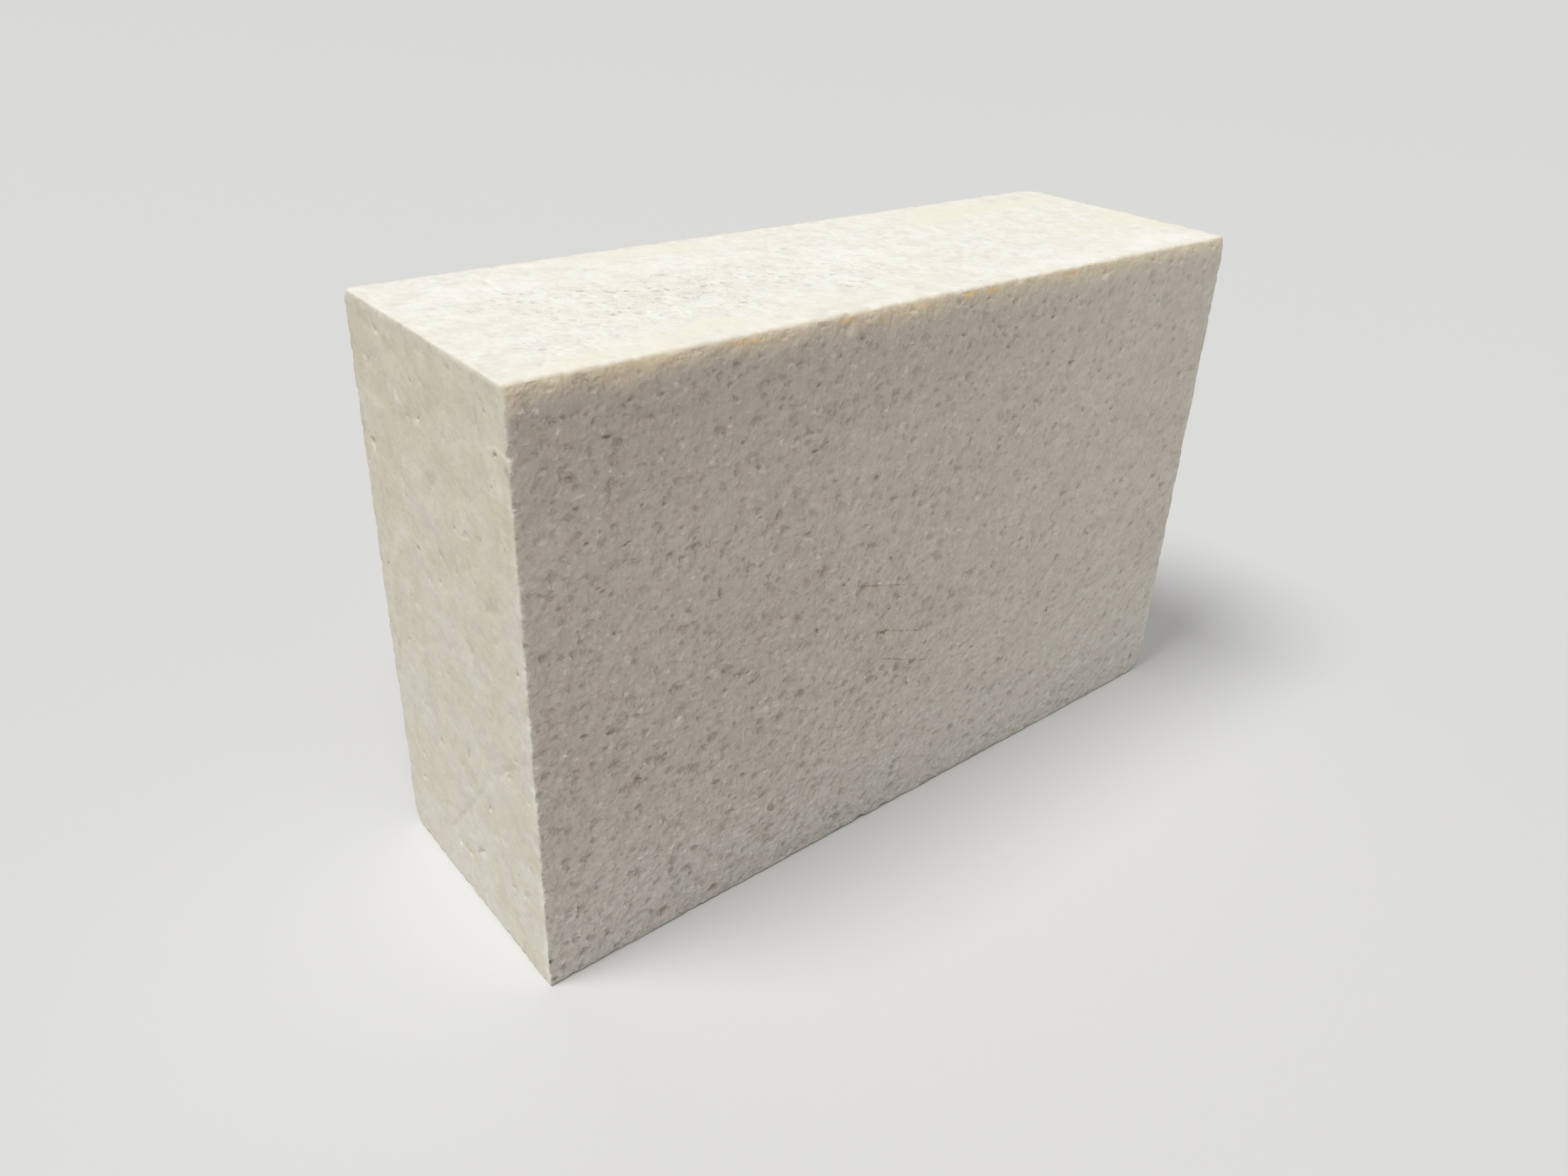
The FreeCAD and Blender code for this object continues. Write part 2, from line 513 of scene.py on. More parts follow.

# %% [markdown]
# ## The marks one would know it by
#
# The random pits give the right crowd, but a particular brick is known by its larger marks, so these are
# placed one by one on the broad face, read off with the ruler. Each row says how far right and down it lies,
# how wide and tall it is and how far it leans, then its depth and how dark its floor is.

# %% Hollows of the broad face
FRONT_HOLLOWS = [
    (12.1, 8.8, 2.4, 1.5, 30, 0.51, 0.6), (17.0, 9.3, 1.9, 1.5, 0, 0.42, 0.5),
    (21.3, 14.9, 3.3, 1.5, 8, 0.68, 0.9), (12.2, 21.1, 1.9, 0.9, 10, 0.42, 0.7),
    (18.6, 21.7, 1.5, 1.5, 0, 0.34, 0.5), (14.0, 23.6, 3.4, 1.6, 15, 0.51, 0.4),
    (9.0, 25.7, 2.2, 1.9, 40, 0.42, 0.4), (10.7, 29.3, 2.6, 2.6, 0, 0.26, 0.4),
    (5.0, 32.5, 2.6, 2.0, -30, 0.34, 0.4), (8.7, 32.3, 2.1, 2.1, 0, 0.26, 0.4),
    (21.0, 32.5, 2.0, 2.6, 0, 0.26, 0.3), (28.7, 31.6, 1.3, 1.6, 0, 0.51, 0.6),
    (34.0, 32.7, 1.9, 1.2, 15, 0.51, 0.5), (14.0, 37.8, 2.0, 2.8, 0, 0.42, 0.45),
    (24.9, 39.3, 4.8, 0.9, -15, 0.42, 0.4), (32.7, 37.0, 3.4, 1.0, 35, 0.42, 0.4),
    (35.7, 44.9, 3.0, 1.2, -5, 0.51, 0.55), (38.6, 46.6, 2.9, 0.9, 18, 0.42, 0.6),
    (41.9, 43.2, 1.0, 1.5, 0, 0.51, 0.7), (8.7, 49.2, 1.9, 1.5, 0, 0.51, 0.6),
    (20.7, 49.8, 1.5, 1.4, 30, 0.51, 0.6), (9.5, 52.6, 2.6, 2.2, 0, 0.34, 0.45),
    (13.1, 58.6, 2.7, 1.8, 70, 0.59, 0.7), (21.2, 59.6, 1.5, 1.3, 0, 0.51, 0.65),
    (50.6, 10.0, 1.6, 1.9, 20, 0.51, 0.6), (52.3, 13.6, 3.8, 1.6, 53, 0.51, 0.5),
    (64.8, 11.3, 4.6, 2.4, 20, 0.51, 0.5), (54.4, 23.8, 1.2, 1.4, 0, 0.59, 0.75),
    (64.4, 24.2, 1.5, 2.1, 0, 0.34, 0.4), (68.7, 23.0, 2.1, 1.6, -25, 0.42, 0.5),
    (73.0, 25.8, 3.6, 1.8, 25, 0.51, 0.55), (69.0, 29.0, 1.6, 1.4, 0, 0.42, 0.5),
    (78.0, 28.6, 1.9, 1.6, 20, 0.42, 0.5), (74.7, 30.9, 3.2, 1.5, -10, 0.51, 0.6),
    (58.8, 30.5, 2.2, 2.0, 0, 0.51, 0.4), (68.0, 35.9, 2.3, 3.2, 20, 0.34, 0.45),
    (59.0, 41.2, 3.2, 2.4, 10, 0.59, 0.4), (74.0, 51.6, 3.2, 1.8, 10, 0.59, 0.5),
    (76.8, 56.3, 2.8, 2.0, 0, 0.34, 0.4), (80.4, 22.9, 1.2, 2.3, 0, 0.51, 0.65),
    (86.6, 26.0, 1.2, 2.0, 0, 0.42, 0.5), (107.7, 22.3, 2.2, 3.4, 0, 0.42, 0.45),
    (117.2, 31.0, 2.4, 3.4, 0, 0.34, 0.45), (81.6, 40.0, 2.5, 1.6, 25, 0.51, 0.6),
    (83.2, 44.2, 3.0, 1.8, 0, 0.51, 0.55), (89.0, 41.1, 2.4, 1.4, 0, 0.42, 0.4),
    (123.0, 4.5, 1.6, 1.4, 0, 0.51, 0.8), (138.2, 17.4, 1.9, 1.4, 20, 0.51, 0.75),
    (134.0, 11.6, 3.2, 1.6, 30, 0.51, 0.5), (127.7, 40.4, 1.8, 3.6, 0, 0.42, 0.5),
    (129.7, 35.2, 2.0, 1.2, 15, 0.42, 0.65), (116.0, 52.5, 3.0, 1.8, -25, 0.51, 0.5),
    (146.3, 10.6, 2.6, 1.6, 20, 0.42, 0.45), (133.3, 22.8, 1.4, 2.2, 0, 0.34, 0.4),
    (156.5, 21.9, 2.6, 1.6, 0, 0.42, 0.9), (193.5, 26.1, 2.0, 1.7, 0, 0.51, 0.8),
    (198.7, 13.0, 2.0, 1.0, 10, 0.42, 0.55), (202.0, 10.2, 2.0, 1.8, 0, 0.34, 0.45),
    (159.5, 4.5, 2.6, 2.4, 0, 0.17, 0.4), (161.2, 8.9, 2.5, 1.7, 25, 0.42, 0.4),
    (189.0, 49.0, 5.0, 1.5, 25, 0.42, 0.4), (209.5, 51.5, 2.4, 2.4, 40, 0.42, 0.45),
    (15.5, 64.7, 3.0, 2.0, 0, 0.34, 0.45), (5.0, 69.0, 2.2, 2.4, 0, 0.42, 0.4),
    (13.0, 74.8, 3.4, 1.6, -20, 0.51, 0.4), (31.9, 74.5, 1.6, 2.5, 0, 0.26, 0.4),
    (28.8, 73.2, 2.0, 1.6, 0, 0.26, 0.35), (26.8, 81.0, 1.6, 1.7, 0, 0.34, 0.45),
    (28.4, 88.2, 1.6, 2.0, 0, 0.42, 0.55), (36.7, 88.0, 1.2, 1.6, -20, 0.51, 0.6),
    (22.8, 90.0, 2.0, 2.4, 20, 0.42, 0.45), (3.0, 88.8, 2.4, 2.6, 0, 0.42, 0.4),
    (40.0, 85.0, 1.8, 2.4, 0, 0.26, 0.35), (46.5, 69.0, 3.0, 3.0, 0, 0.51, 0.35),
    (62.0, 69.8, 2.6, 2.2, 0, 0.42, 0.4), (78.5, 79.8, 1.4, 2.0, -20, 0.59, 1.0),
    (57.3, 94.7, 2.6, 2.4, 0, 0.42, 0.5), (60.8, 93.8, 2.0, 2.0, 0, 0.42, 0.55),
    (64.0, 94.4, 3.0, 2.2, 0, 0.51, 0.4), (70.5, 91.7, 4.0, 3.0, 0, 0.20, 0.5),
    (58.3, 87.0, 4.2, 1.2, -12, 0.51, 0.45), (46.8, 60.5, 3.4, 1.7, 10, 0.42, 0.45),
    (82.2, 77.0, 2.2, 3.7, 0, 0.14, 0.7), (110.8, 78.0, 2.1, 2.0, 20, 0.14, 0.55),
    (118.2, 93.0, 3.7, 2.0, 60, 0.14, 0.7), (118.9, 84.3, 2.0, 1.5, 20, 0.34, 0.5),
    (123.8, 91.0, 2.6, 2.4, 0, 0.10, 0.4), (128.0, 90.5, 2.0, 1.6, 0, 0.10, 0.4),
    (137.3, 67.4, 1.2, 2.2, 10, 0.42, 0.55), (143.3, 80.8, 1.6, 1.6, 0, 0.34, 0.55),
    (157.5, 95.8, 3.2, 1.6, 20, 0.42, 0.55), (164.2, 93.2, 1.4, 1.8, 0, 0.34, 0.5),
    (171.7, 84.5, 3.4, 2.0, 10, 0.17, 0.35), (200.0, 108.3, 3.0, 2.0, 0, 0.20, 0.55),
    (183.8, 97.0, 3.2, 1.8, 20, 0.34, 0.45), (195.0, 91.6, 3.2, 1.8, 20, 0.34, 0.45),
    (158.0, 82.5, 2.6, 2.2, 30, 0.34, 0.4), (156.7, 105.0, 3.0, 2.4, 20, 0.34, 0.5),
    (5.2, 108.0, 2.6, 2.2, 0, 0.42, 0.5), (9.3, 112.4, 1.1, 2.0, -15, 0.34, 0.45),
    (20.0, 113.6, 1.1, 2.5, -10, 0.34, 0.5), (4.3, 118.8, 2.0, 2.8, 0, 0.34, 0.45),
    (41.0, 108.2, 3.2, 1.0, 0, 0.42, 0.5), (70.8, 107.6, 3.0, 1.8, 0, 0.34, 0.45),
    (74.8, 106.0, 2.0, 1.8, -30, 0.34, 0.5), (72.9, 101.5, 1.8, 2.8, 20, 0.34, 0.4),
    (75.8, 117.0, 1.8, 2.1, 0, 0.42, 0.5), (77.2, 111.2, 1.5, 1.7, 0, 0.34, 0.4),
    (6.5, 129.5, 2.9, 2.3, 20, 0.51, 0.6), (50.0, 128.4, 2.7, 1.9, -20, 0.17, 0.55),
    (22.3, 134.0, 2.0, 1.6, 0, 0.26, 0.5), (49.9, 137.0, 1.4, 2.9, -15, 0.26, 0.55),
    (53.7, 136.2, 1.6, 1.6, 0, 0.26, 0.5), (56.7, 139.3, 1.3, 2.0, 0, 0.26, 0.45),
    (52.3, 142.3, 2.6, 1.9, 20, 0.26, 0.45), (46.4, 133.5, 1.2, 1.4, 0, 0.26, 0.55),
    (64.8, 139.7, 2.6, 1.7, 25, 0.26, 0.4), (28.7, 146.0, 3.4, 1.9, -15, 0.26, 0.45),
    (39.0, 146.0, 2.2, 2.2, 0, 0.20, 0.35), (35.0, 138.5, 2.0, 1.6, 0, 0.34, 0.4),
    (94.0, 116.7, 1.9, 1.4, 10, 0.34, 0.5), (127.2, 118.6, 2.0, 1.2, 20, 0.42, 0.45),
    (128.0, 132.7, 2.5, 2.0, 0, 0.20, 0.5), (98.4, 142.5, 1.6, 1.2, -20, 0.34, 0.5),
    (101.6, 146.0, 1.8, 1.1, 35, 0.34, 0.5), (108.0, 144.5, 1.5, 1.0, 15, 0.34, 0.45),
    (92.0, 127.5, 1.6, 2.0, 20, 0.34, 0.45), (140.2, 102.3, 1.4, 2.0, 0, 0.34, 0.5),
    (177.2, 115.2, 2.2, 1.5, 15, 0.34, 0.5), (180.5, 116.4, 2.0, 2.8, 30, 0.34, 0.45),
    (165.5, 128.5, 1.5, 1.1, 20, 0.34, 0.5), (162.0, 143.8, 1.6, 1.4, 0, 0.34, 0.4),
    (198.0, 142.5, 3.2, 1.4, 70, 0.34, 0.45), (223.5, 143.2, 2.0, 4.0, 15, 0.42, 0.6),
    (185.0, 112.2, 3.4, 1.3, 35, 0.34, 0.4),
]
print("Hollows read off the broad face:", len(FRONT_HOLLOWS))

# %% [markdown]
# The same face has stains with no depth: rust, soot and chalky rubs. Each row gives the same reading, and
# then how strong the stain is. Three thin scratches were left by a rusty edge. Each is the list of places
# that it runs through, right and down, and its strength.

# %% Stains of the broad face
FRONT_RUST = [
    (112.2, 108.7, 1.1, 1.8, 0, 1.0), (117.2, 110.3, 1.0, 0.8, 0, 0.8), (171.0, 106.0, 1.5, 1.6, 0, 1.0),
    (185.1, 62.2, 2.2, 1.2, 10, 0.5), (203.0, 66.7, 2.5, 1.3, 15, 0.5), (162.0, 43.4, 1.8, 1.2, 0, 0.45),
    (158.8, 48.5, 2.0, 1.4, 20, 0.4), (154.8, 10.3, 1.2, 2.0, 0, 0.4), (98.0, 104.3, 0.8, 0.6, 0, 0.5),
    (4.4, 75.2, 0.8, 0.7, 0, 0.6), (183.0, 76.0, 1.4, 0.9, 20, 0.35), (166.4, 18.2, 1.4, 0.6, 0, 0.5),
    (160.6, 29.0, 1.2, 0.6, 0, 0.6), (101.5, 88.6, 2.6, 1.1, 20, 0.9), (39.8, 28.0, 3.0, 1.6, 0, 0.35),
    (41.5, 8.2, 2.0, 1.0, 0, 0.35), (50.0, 128.4, 2.6, 1.8, -20, 0.4), (223.5, 143.2, 2.0, 3.6, 15, 0.5),
]
FRONT_SOOT = [
    (78.5, 79.8, 1.1, 1.7, -20, 0.6), (39.1, 130.4, 0.6, 0.6, 0, 1.0), (87.0, 20.9, 0.8, 0.7, 0, 0.6),
    (102.0, 66.7, 0.8, 0.8, 0, 0.8), (103.0, 82.0, 0.7, 0.7, 0, 0.8), (86.5, 69.2, 0.6, 1.0, 0, 0.7),
    (100.7, 90.1, 0.8, 0.6, 0, 0.8), (0.4, 142.0, 1.2, 2.0, 0, 0.9), (1.3, 148.0, 2.4, 1.4, 0, 0.6),
    (3.4, 146.0, 2.0, 2.2, 0, 0.4), (0.6, 128.0, 0.8, 0.6, 0, 0.9), (0.9, 104.5, 0.7, 1.6, 0, 0.5),
    (108.7, 114.9, 1.7, 0.6, 0, 0.6), (21.3, 14.7, 2.2, 0.7, 8, 0.35),
]
FRONT_CHALK = [
    (102.0, 31.2, 2.4, 0.8, -15, 0.8), (112.0, 40.8, 2.1, 0.8, -12, 0.8), (122.3, 50.3, 2.3, 0.8, -12, 0.8),
    (113.3, 55.0, 2.4, 0.9, -10, 0.8), (124.0, 65.4, 2.4, 0.8, -5, 0.8), (50.8, 19.2, 2.0, 1.1, 0, 0.8),
    (46.4, 79.2, 1.2, 1.2, 0, 0.7), (56.0, 79.8, 1.3, 1.0, 0, 0.7), (74.0, 53.0, 3.0, 0.7, 5, 0.8),
    (6.8, 132.2, 4.5, 1.2, -10, 0.9), (14.5, 25.6, 3.0, 0.9, -5, 0.8), (16.3, 100.0, 2.0, 0.9, 0, 0.5),
    (58.8, 42.6, 2.6, 0.8, 0, 0.7), (62.8, 96.0, 2.2, 0.7, 20, 0.6), (83.3, 93.1, 2.2, 0.6, 0, 0.6),
    (85.3, 92.3, 1.6, 1.6, 0, 0.6), (194.5, 28.4, 2.2, 1.0, 0, 0.6), (60.0, 32.0, 2.4, 0.8, 0, 0.6),
]
RUSTY_SCRATCHES = [
    ([(97.0, 86.6), (103.0, 89.0), (110.5, 91.4), (118.0, 94.0)], 1.0),
    ([(87.0, 70.2), (95.0, 72.9), (105.0, 75.7), (115.5, 78.7)], 0.6),
    ([(99.0, 95.7), (108.0, 99.3), (117.0, 102.8), (125.0, 105.8)], 0.6),
]
FRONT_STAINS = {"rust": FRONT_RUST, "soot": FRONT_SOOT, "chalk": FRONT_CHALK}
print("Stains read off the broad face:", {name: len(spots) for name, spots in FRONT_STAINS.items()})

# %% [markdown]
# A mark can now be a spot or a line. A line through a few places flows, because a straight run with
# corners would look drawn with a ruler. A thin scratch is finer than the points are apart, so the mesh
# keeps only how far each point lies from it, and the finish draws it.

# %% Place the marks of the broad face
SCRATCH_REACH = 1.6
SCRATCH_TAPER = 0.25
FLOW_STEPS = 6
MARK_SEED = 21
mark_phases = np.random.default_rng(MARK_SEED)


def distance_to_line(side, places):
    """How far each point of a side lies from the nearest straight run between places, in millimetres."""
    here = side.points
    away = np.full(side.numbers.shape, np.inf)
    for start, end in itertools.pairwise(np.array(places)):
        run = end - start
        share = np.clip(((here - start) @ run) / (run @ run), 0, 1)
        away = np.minimum(away, np.linalg.norm(here - start - share[..., None] * run, axis=-1))
    return away


def flowing(places):
    """More places on a smooth curve through these, six steps to each run.

    Each run is a cubic whose slope at a place is half the way from the place before to the place after.
    """
    places = np.array(places)
    padded = np.concatenate([2 * places[:1] - places[1:2], places, 2 * places[-1:] - places[-2:-1]])
    before, start, end, after = padded[:-3, None], padded[1:-2, None], padded[2:-1, None], padded[3:, None]
    t = np.arange(0, 1, 1 / FLOW_STEPS)[:, None]
    curve = start + t * (end - before) / 2
    curve = curve + t**2 * (before - 2.5 * start + 2 * end - after / 2)
    curve = curve + t**3 * (1.5 * (start - end) + (after - before) / 2)
    return np.concatenate([curve.reshape(-1, 2), places[-1:]])


def draw_line(side, layer, places, width, strength):
    """A drawn line that flows through some places: full on it, fading to nothing half its width away."""
    away = distance_to_line(side, flowing(places))
    side.lay(layer, EVERYWHERE, strength * ramp(away, width / 2, 0))


def draw_scratch(side, places, strength):
    """A thin scratch, kept as its strength and how far above or below it each point lies, in millimetres.

    A signed distance blends exactly between points, so the finish can draw a line finer than their spacing.
    """
    here = side.points
    start = np.array(places[0])
    run = np.array(places[-1]) - start
    share = ((here - start) @ run) / (run @ run)
    line_down = np.interp(share, np.linspace(0, 1, len(places)), np.array(places)[:, 1])
    off = here[..., 1] - line_down
    near = (np.abs(off) < SCRATCH_REACH) & (share > 0) & (share < 1)
    taper = ramp(share, 0, SCRATCH_TAPER) * ramp(share, 1, 1 - SCRATCH_TAPER)
    side.layers["scratch"][near] = strength * taper[near]
    side.layers["scratch_off"][near] = off[near]
    side.layers["marked"][near] = 1


def next_phases():
    """Where the waves of the next rim start."""
    return mark_phases.uniform(0, math.tau, len(RIM_WAVES))


def place_marks(side, hollows, spots_by_layer):
    """Sink the hollows of a hand-read list into a side, and lay its coloured spots on it.

    Every place that they touch is noted as marked, so that it keeps all of its points later on.
    """
    for *spot, depth, dirt in hollows:
        phases = next_phases()
        sink(side, spot, depth, dirt, phases)
        colour_spot(side, "marked", spot, 1, phases)
    for layer, spots in spots_by_layer.items():
        for *spot, strength in spots:
            phases = next_phases()
            colour_spot(side, layer, spot, strength, phases)
            colour_spot(side, "marked", spot, 1, phases)


place_marks(sides["front"], FRONT_HOLLOWS, FRONT_STAINS)
for places, strength in RUSTY_SCRATCHES:
    draw_scratch(sides["front"], places, strength)
print("Points marked on the broad face:", np.count_nonzero(sides["front"].layers["marked"]))

# %% [markdown]
# The left end keeps a smoother skin. A crease runs up it where the clay folded in the press, and it is
# darkened along its line as painted shade. High up by the near arris a nick has pushed up a curl of pale
# clay: the nick's floor is painted dark as painted shade, and a pale line along the curl is a painted
# highlight on its lit lip.

# %% Marks on the left end
END_HOLLOWS = [
    (32.5, 12.3, 1.2, 1.8, 0, 0.40, 0.35), (26.0, 54.1, 2.4, 1.6, -40, 0.48, 0.50),
    (46.0, 51.2, 1.3, 2.6, 0, 0.32, 0.30), (41.7, 103.1, 1.3, 1.1, 0, 0.48, 0.50),
    (71.6, 63.6, 2.2, 1.4, -30, 0.48, 0.35), (47.2, 40.0, 1.6, 1.4, 0, 0.40, 0.40),
    (52.5, 39.5, 4.5, 2.6, -20, 0.24, 0.20), (9.1, 14.1, 5.0, 4.0, 0, 0.19, 0.15),
    (30.0, 136.8, 3.4, 1.4, 40, 0.40, 0.35), (43.0, 131.0, 8.0, 1.2, -40, 0.40, 0.20),
    (18.5, 101.5, 2.0, 2.6, 0, 0.32, 0.20), (60.0, 130.0, 3.0, 2.0, -20, 0.32, 0.25),
    (62.5, 95.6, 2.6, 1.4, -30, 0.40, 0.30), (16.0, 5.0, 1.2, 4.0, -20, 0.24, 0.25),
    (67.0, 88.5, 3.0, 1.4, -35, 0.32, 0.25), (70.0, 118.0, 2.0, 3.0, 0, 0.24, 0.15),
    # The last two rows are the nick: their darkest floors are painted shade, where the notch faces away from
    # the light.
    (69.6, 15.5, 2.8, 1.2, -14, 0.50, 1.00), (74.0, 17.6, 3.0, 3.0, 0, 0.30, 0.70),
]
# Curls at the nick, drawn pale as a painted highlight on their lit lip: places they run through, and
# strength.
END_CURL_HIGHLIGHTS = [
    ([(66.4, 14.9), (69.0, 14.0), (71.0, 13.8), (74.8, 14.9)], 0.8),
    ([(69.6, 17.6), (68.4, 19.7), (67.0, 22.3)], 0.4),
]
END_CURL_HIGHLIGHT_WIDTH = 1.5
END_CHALK = [
    (23.8, 18.5, 3.2, 1.1, -25, 0.9), (8.4, 13.6, 3.0, 2.0, -20, 0.6), (11.6, 23.3, 1.6, 1.0, -20, 0.6),
    (70.0, 23.0, 4.0, 4.6, 0, 0.4), (71.0, 81.6, 4.0, 5.0, 0, 0.4), (28.0, 133.5, 2.4, 1.0, -30, 0.7),
    (33.5, 137.0, 2.2, 1.0, -50, 0.6), (61.5, 95.2, 2.2, 0.8, -40, 0.6),
    (40.5, 96.0, 1.6, 0.7, -40, 0.5), (24.0, 110.0, 2.0, 0.7, -50, 0.5), (57.0, 45.5, 1.8, 0.6, -30, 0.5),
]
CREASE = [
    (26.5, 134.0), (34.0, 125.5), (42.0, 115.5), (50.0, 106.3), (57.0, 98.6), (64.0, 92.5), (73.5, 85.4),
]
CREASE_WIDTH = 2.4
CREASE_DEPTH = 0.18
CREASE_BREAK_NOISE = (5.0, 22, 2)
CREASE_BREAK_RAMP = (0.25, 0.6)

left_end = sides["left_end"]
place_marks(left_end, END_HOLLOWS, {"chalk": END_CHALK})
crease_depth_and_shade = CREASE_DEPTH * ramp(left_end.noise(*CREASE_BREAK_NOISE), *CREASE_BREAK_RAMP)
# The crease goes into the hollow layer as well: painted shade, darker along the fold.
for layer in ("relief", "hollow"):
    draw_line(left_end, layer, CREASE, CREASE_WIDTH, crease_depth_and_shade)
# A pale line along each curl: painted highlight.
for places, strength in END_CURL_HIGHLIGHTS:
    draw_line(left_end, "chalk", places, END_CURL_HIGHLIGHT_WIDTH, strength)
    draw_line(left_end, "marked", places, END_CURL_HIGHLIGHT_WIDTH, 1)
print("Hollows read off the left end:", len(END_HOLLOWS))

# %% [markdown]
# The top has some dents, a long light scratch and a worn line near its back arris. Its tone is uneven as
# well, in wide soft blotches that are finely dented, creamier, dirtier or chalkier than the rest.

# %% Marks on the top
TOP_HOLLOWS = [
    (95.0, 21.0, 6.0, 1.6, 25, 0.27, 0.25), (112.5, 43.5, 2.0, 3.0, 30, 0.36, 0.30),
    (117.0, 50.5, 6.0, 1.2, 40, 0.27, 0.20), (141.6, 49.8, 2.4, 1.4, 0, 0.27, 0.25),
    (146.6, 65.3, 1.4, 1.2, -30, 0.36, 0.35), (157.9, 65.3, 2.2, 1.4, 0, 0.27, 0.25),
    (180.0, 18.3, 2.4, 0.9, -35, 0.36, 0.35), (15.0, 13.0, 2.0, 1.6, 0, 0.36, 0.30),
    (11.5, 68.5, 1.6, 1.4, 0, 0.36, 0.30), (28.5, 12.0, 1.5, 5.0, 10, 0.27, 0.15),
    (102.0, 31.0, 3.5, 5.0, 20, 0.18, 0.15), (53.0, 14.5, 1.2, 3.0, 20, 0.22, 0.15),
    (40.0, 46.0, 3.0, 3.0, 0, 0.22, 0.20), (134.0, 65.0, 2.0, 1.0, 0, 0.22, 0.20),
    (27.5, 20.0, 1.4, 6.0, 0, 0.27, 0.15), (70.0, 55.0, 3.0, 1.2, -20, 0.22, 0.20),
]
TOP_SCRATCHES = [
    ([(38.0, 61.8), (47.0, 59.5), (55.0, 59.0), (66.0, 57.4)], 0.9),
    ([(23.0, 65.5), (38.0, 61.8)], 0.4),
    ([(74.0, 57.0), (82.0, 55.5)], 0.6),
    ([(92.0, 54.5), (98.0, 53.5)], 0.6),
]
TOP_SCRATCH_WIDTH = 1.0
BACK_LINE = [(66.0, 8.5), (88.0, 10.5), (108.0, 12.0)]
BACK_LINE_WIDTH = 1.8
BACK_LINE_DEPTH = 0.10
BACK_LINE_STRENGTH = 0.8

# Wide soft blotches: right, down, wide, tall, lean, strength.
TOP_DENTED = [
    (56.0, 40.0, 100.0, 50.0, 8, 1.0), (98.0, 46.0, 70.0, 34.0, 25, 0.8), (160.0, 50.0, 70.0, 30.0, 0, 0.3),
    (122.0, 24.0, 70.0, 24.0, 0, 0.4), (205.0, 30.0, 46.0, 34.0, 0, 0.2), (24.0, 56.0, 40.0, 26.0, 0, 0.6),
]
TOP_CREAM = [
    (186.0, 13.0, 96.0, 18.0, 0, 0.9), (222.0, 45.0, 20.0, 38.0, 0, 0.9), (50.0, 66.5, 44.0, 12.0, 0, 0.8),
    (72.0, 8.0, 70.0, 9.0, 3, 0.7), (118.0, 63.0, 20.0, 10.0, 0, 0.5), (24.0, 70.5, 46.0, 9.0, 0, 0.7),
    (84.0, 66.0, 40.0, 14.0, 0, 0.4), (204.0, 45.0, 40.0, 22.0, 0, 0.4),
]
TOP_STAINS = [
    (208.0, 8.0, 40.0, 12.0, 0, 0.20), (118.0, 8.0, 50.0, 8.0, 0, 0.06), (64.0, 44.0, 60.0, 20.0, 10, 0.06),
]
TOP_CHALK = [
    (206.0, 67.0, 46.0, 14.0, 0, 0.9), (24.0, 19.0, 44.0, 16.0, 0, 0.6), (115.0, 36.0, 44.0, 24.0, 0, 0.5),
    (164.0, 68.0, 50.0, 12.0, 0, 0.6), (70.0, 19.0, 44.0, 12.0, 0, 0.5),
]
TOP_BLOTCHES = {"dented": TOP_DENTED, "cream": TOP_CREAM, "hollow": TOP_STAINS}

top = sides["top"]
place_marks(top, TOP_HOLLOWS, {"chalk": TOP_CHALK})
for layer, blotches in TOP_BLOTCHES.items():
    for *spot, strength in blotches:
        colour_spot(top, layer, spot, strength, next_phases())
for places, strength in TOP_SCRATCHES:
    draw_line(top, "chalk", places, TOP_SCRATCH_WIDTH, strength)
draw_line(top, "relief", BACK_LINE, BACK_LINE_WIDTH, BACK_LINE_DEPTH)
draw_line(top, "cream", BACK_LINE, BACK_LINE_WIDTH, BACK_LINE_STRENGTH)
print("Hollows read off the top:", len(TOP_HOLLOWS))

# %% [markdown]
# The left end and the broad face each have an upright arris on their right that has been rubbed pale, in a
# strip that breaks up here and there.

# %% Pale strips
STRIP_WIDTH = 3.2
STRIP_STRENGTH = (0.35, 0.95)
STRIP_NOISE = (5.0, 23, 2)
STRIP_RAMP = (0.3, 0.6)


def pale_strip(side):
    """A worn pale strip along the side's right border, broken up, and stronger lower down."""
    across = ramp(side.wide - side.right, STRIP_WIDTH, 0)[:, None]
    lower = STRIP_STRENGTH[0] + np.ptp(STRIP_STRENGTH) * (side.down / side.tall)[None, :]
    return across * lower * ramp(side.noise(*STRIP_NOISE), *STRIP_RAMP)


for name in ("left_end", "front"):
    sides[name].lay("chalk", EVERYWHERE, pale_strip(sides[name]))
print("Pale strips of", STRIP_WIDTH, "mm")

# %% [markdown]
# Between the marks no face is quite even. The broad faces are lumpy where they were rubbed, the ends are
# drawn out in slanting smears, strongest beside the crease, and the beds swell and dip gently. Each is
# noise with cells of the right size and lean, up and down about a skin that lies just inside the box. Two
# sides would disagree on the arris that they share, so each calms down towards its border.

# %% Uneven skin
# Unevenness: side, cell of the noise in mm, seed, layers, lean in degrees, and depth in mm.
UNEVENNESS = [
    ("front", (4.4, 3.4), 51, 2, 15, 0.46),
    ("back", (4.4, 3.4), 52, 2, 15, 0.46),
    ("left_end", (5.0, 2.2), 53, 2, -50, 0.34),
    ("right_end", (5.0, 2.2), 54, 2, -50, 0.34),
    ("top", (7.0, 7.0), 55, 3, 0, 0.32),
    ("bottom", (7.0, 7.0), 56, 3, 0, 0.32),
]
SMEARED_SIDES = ("left_end", "right_end")
SMEAR_SPREAD = 13.0
CALM_BORDER = 2.4


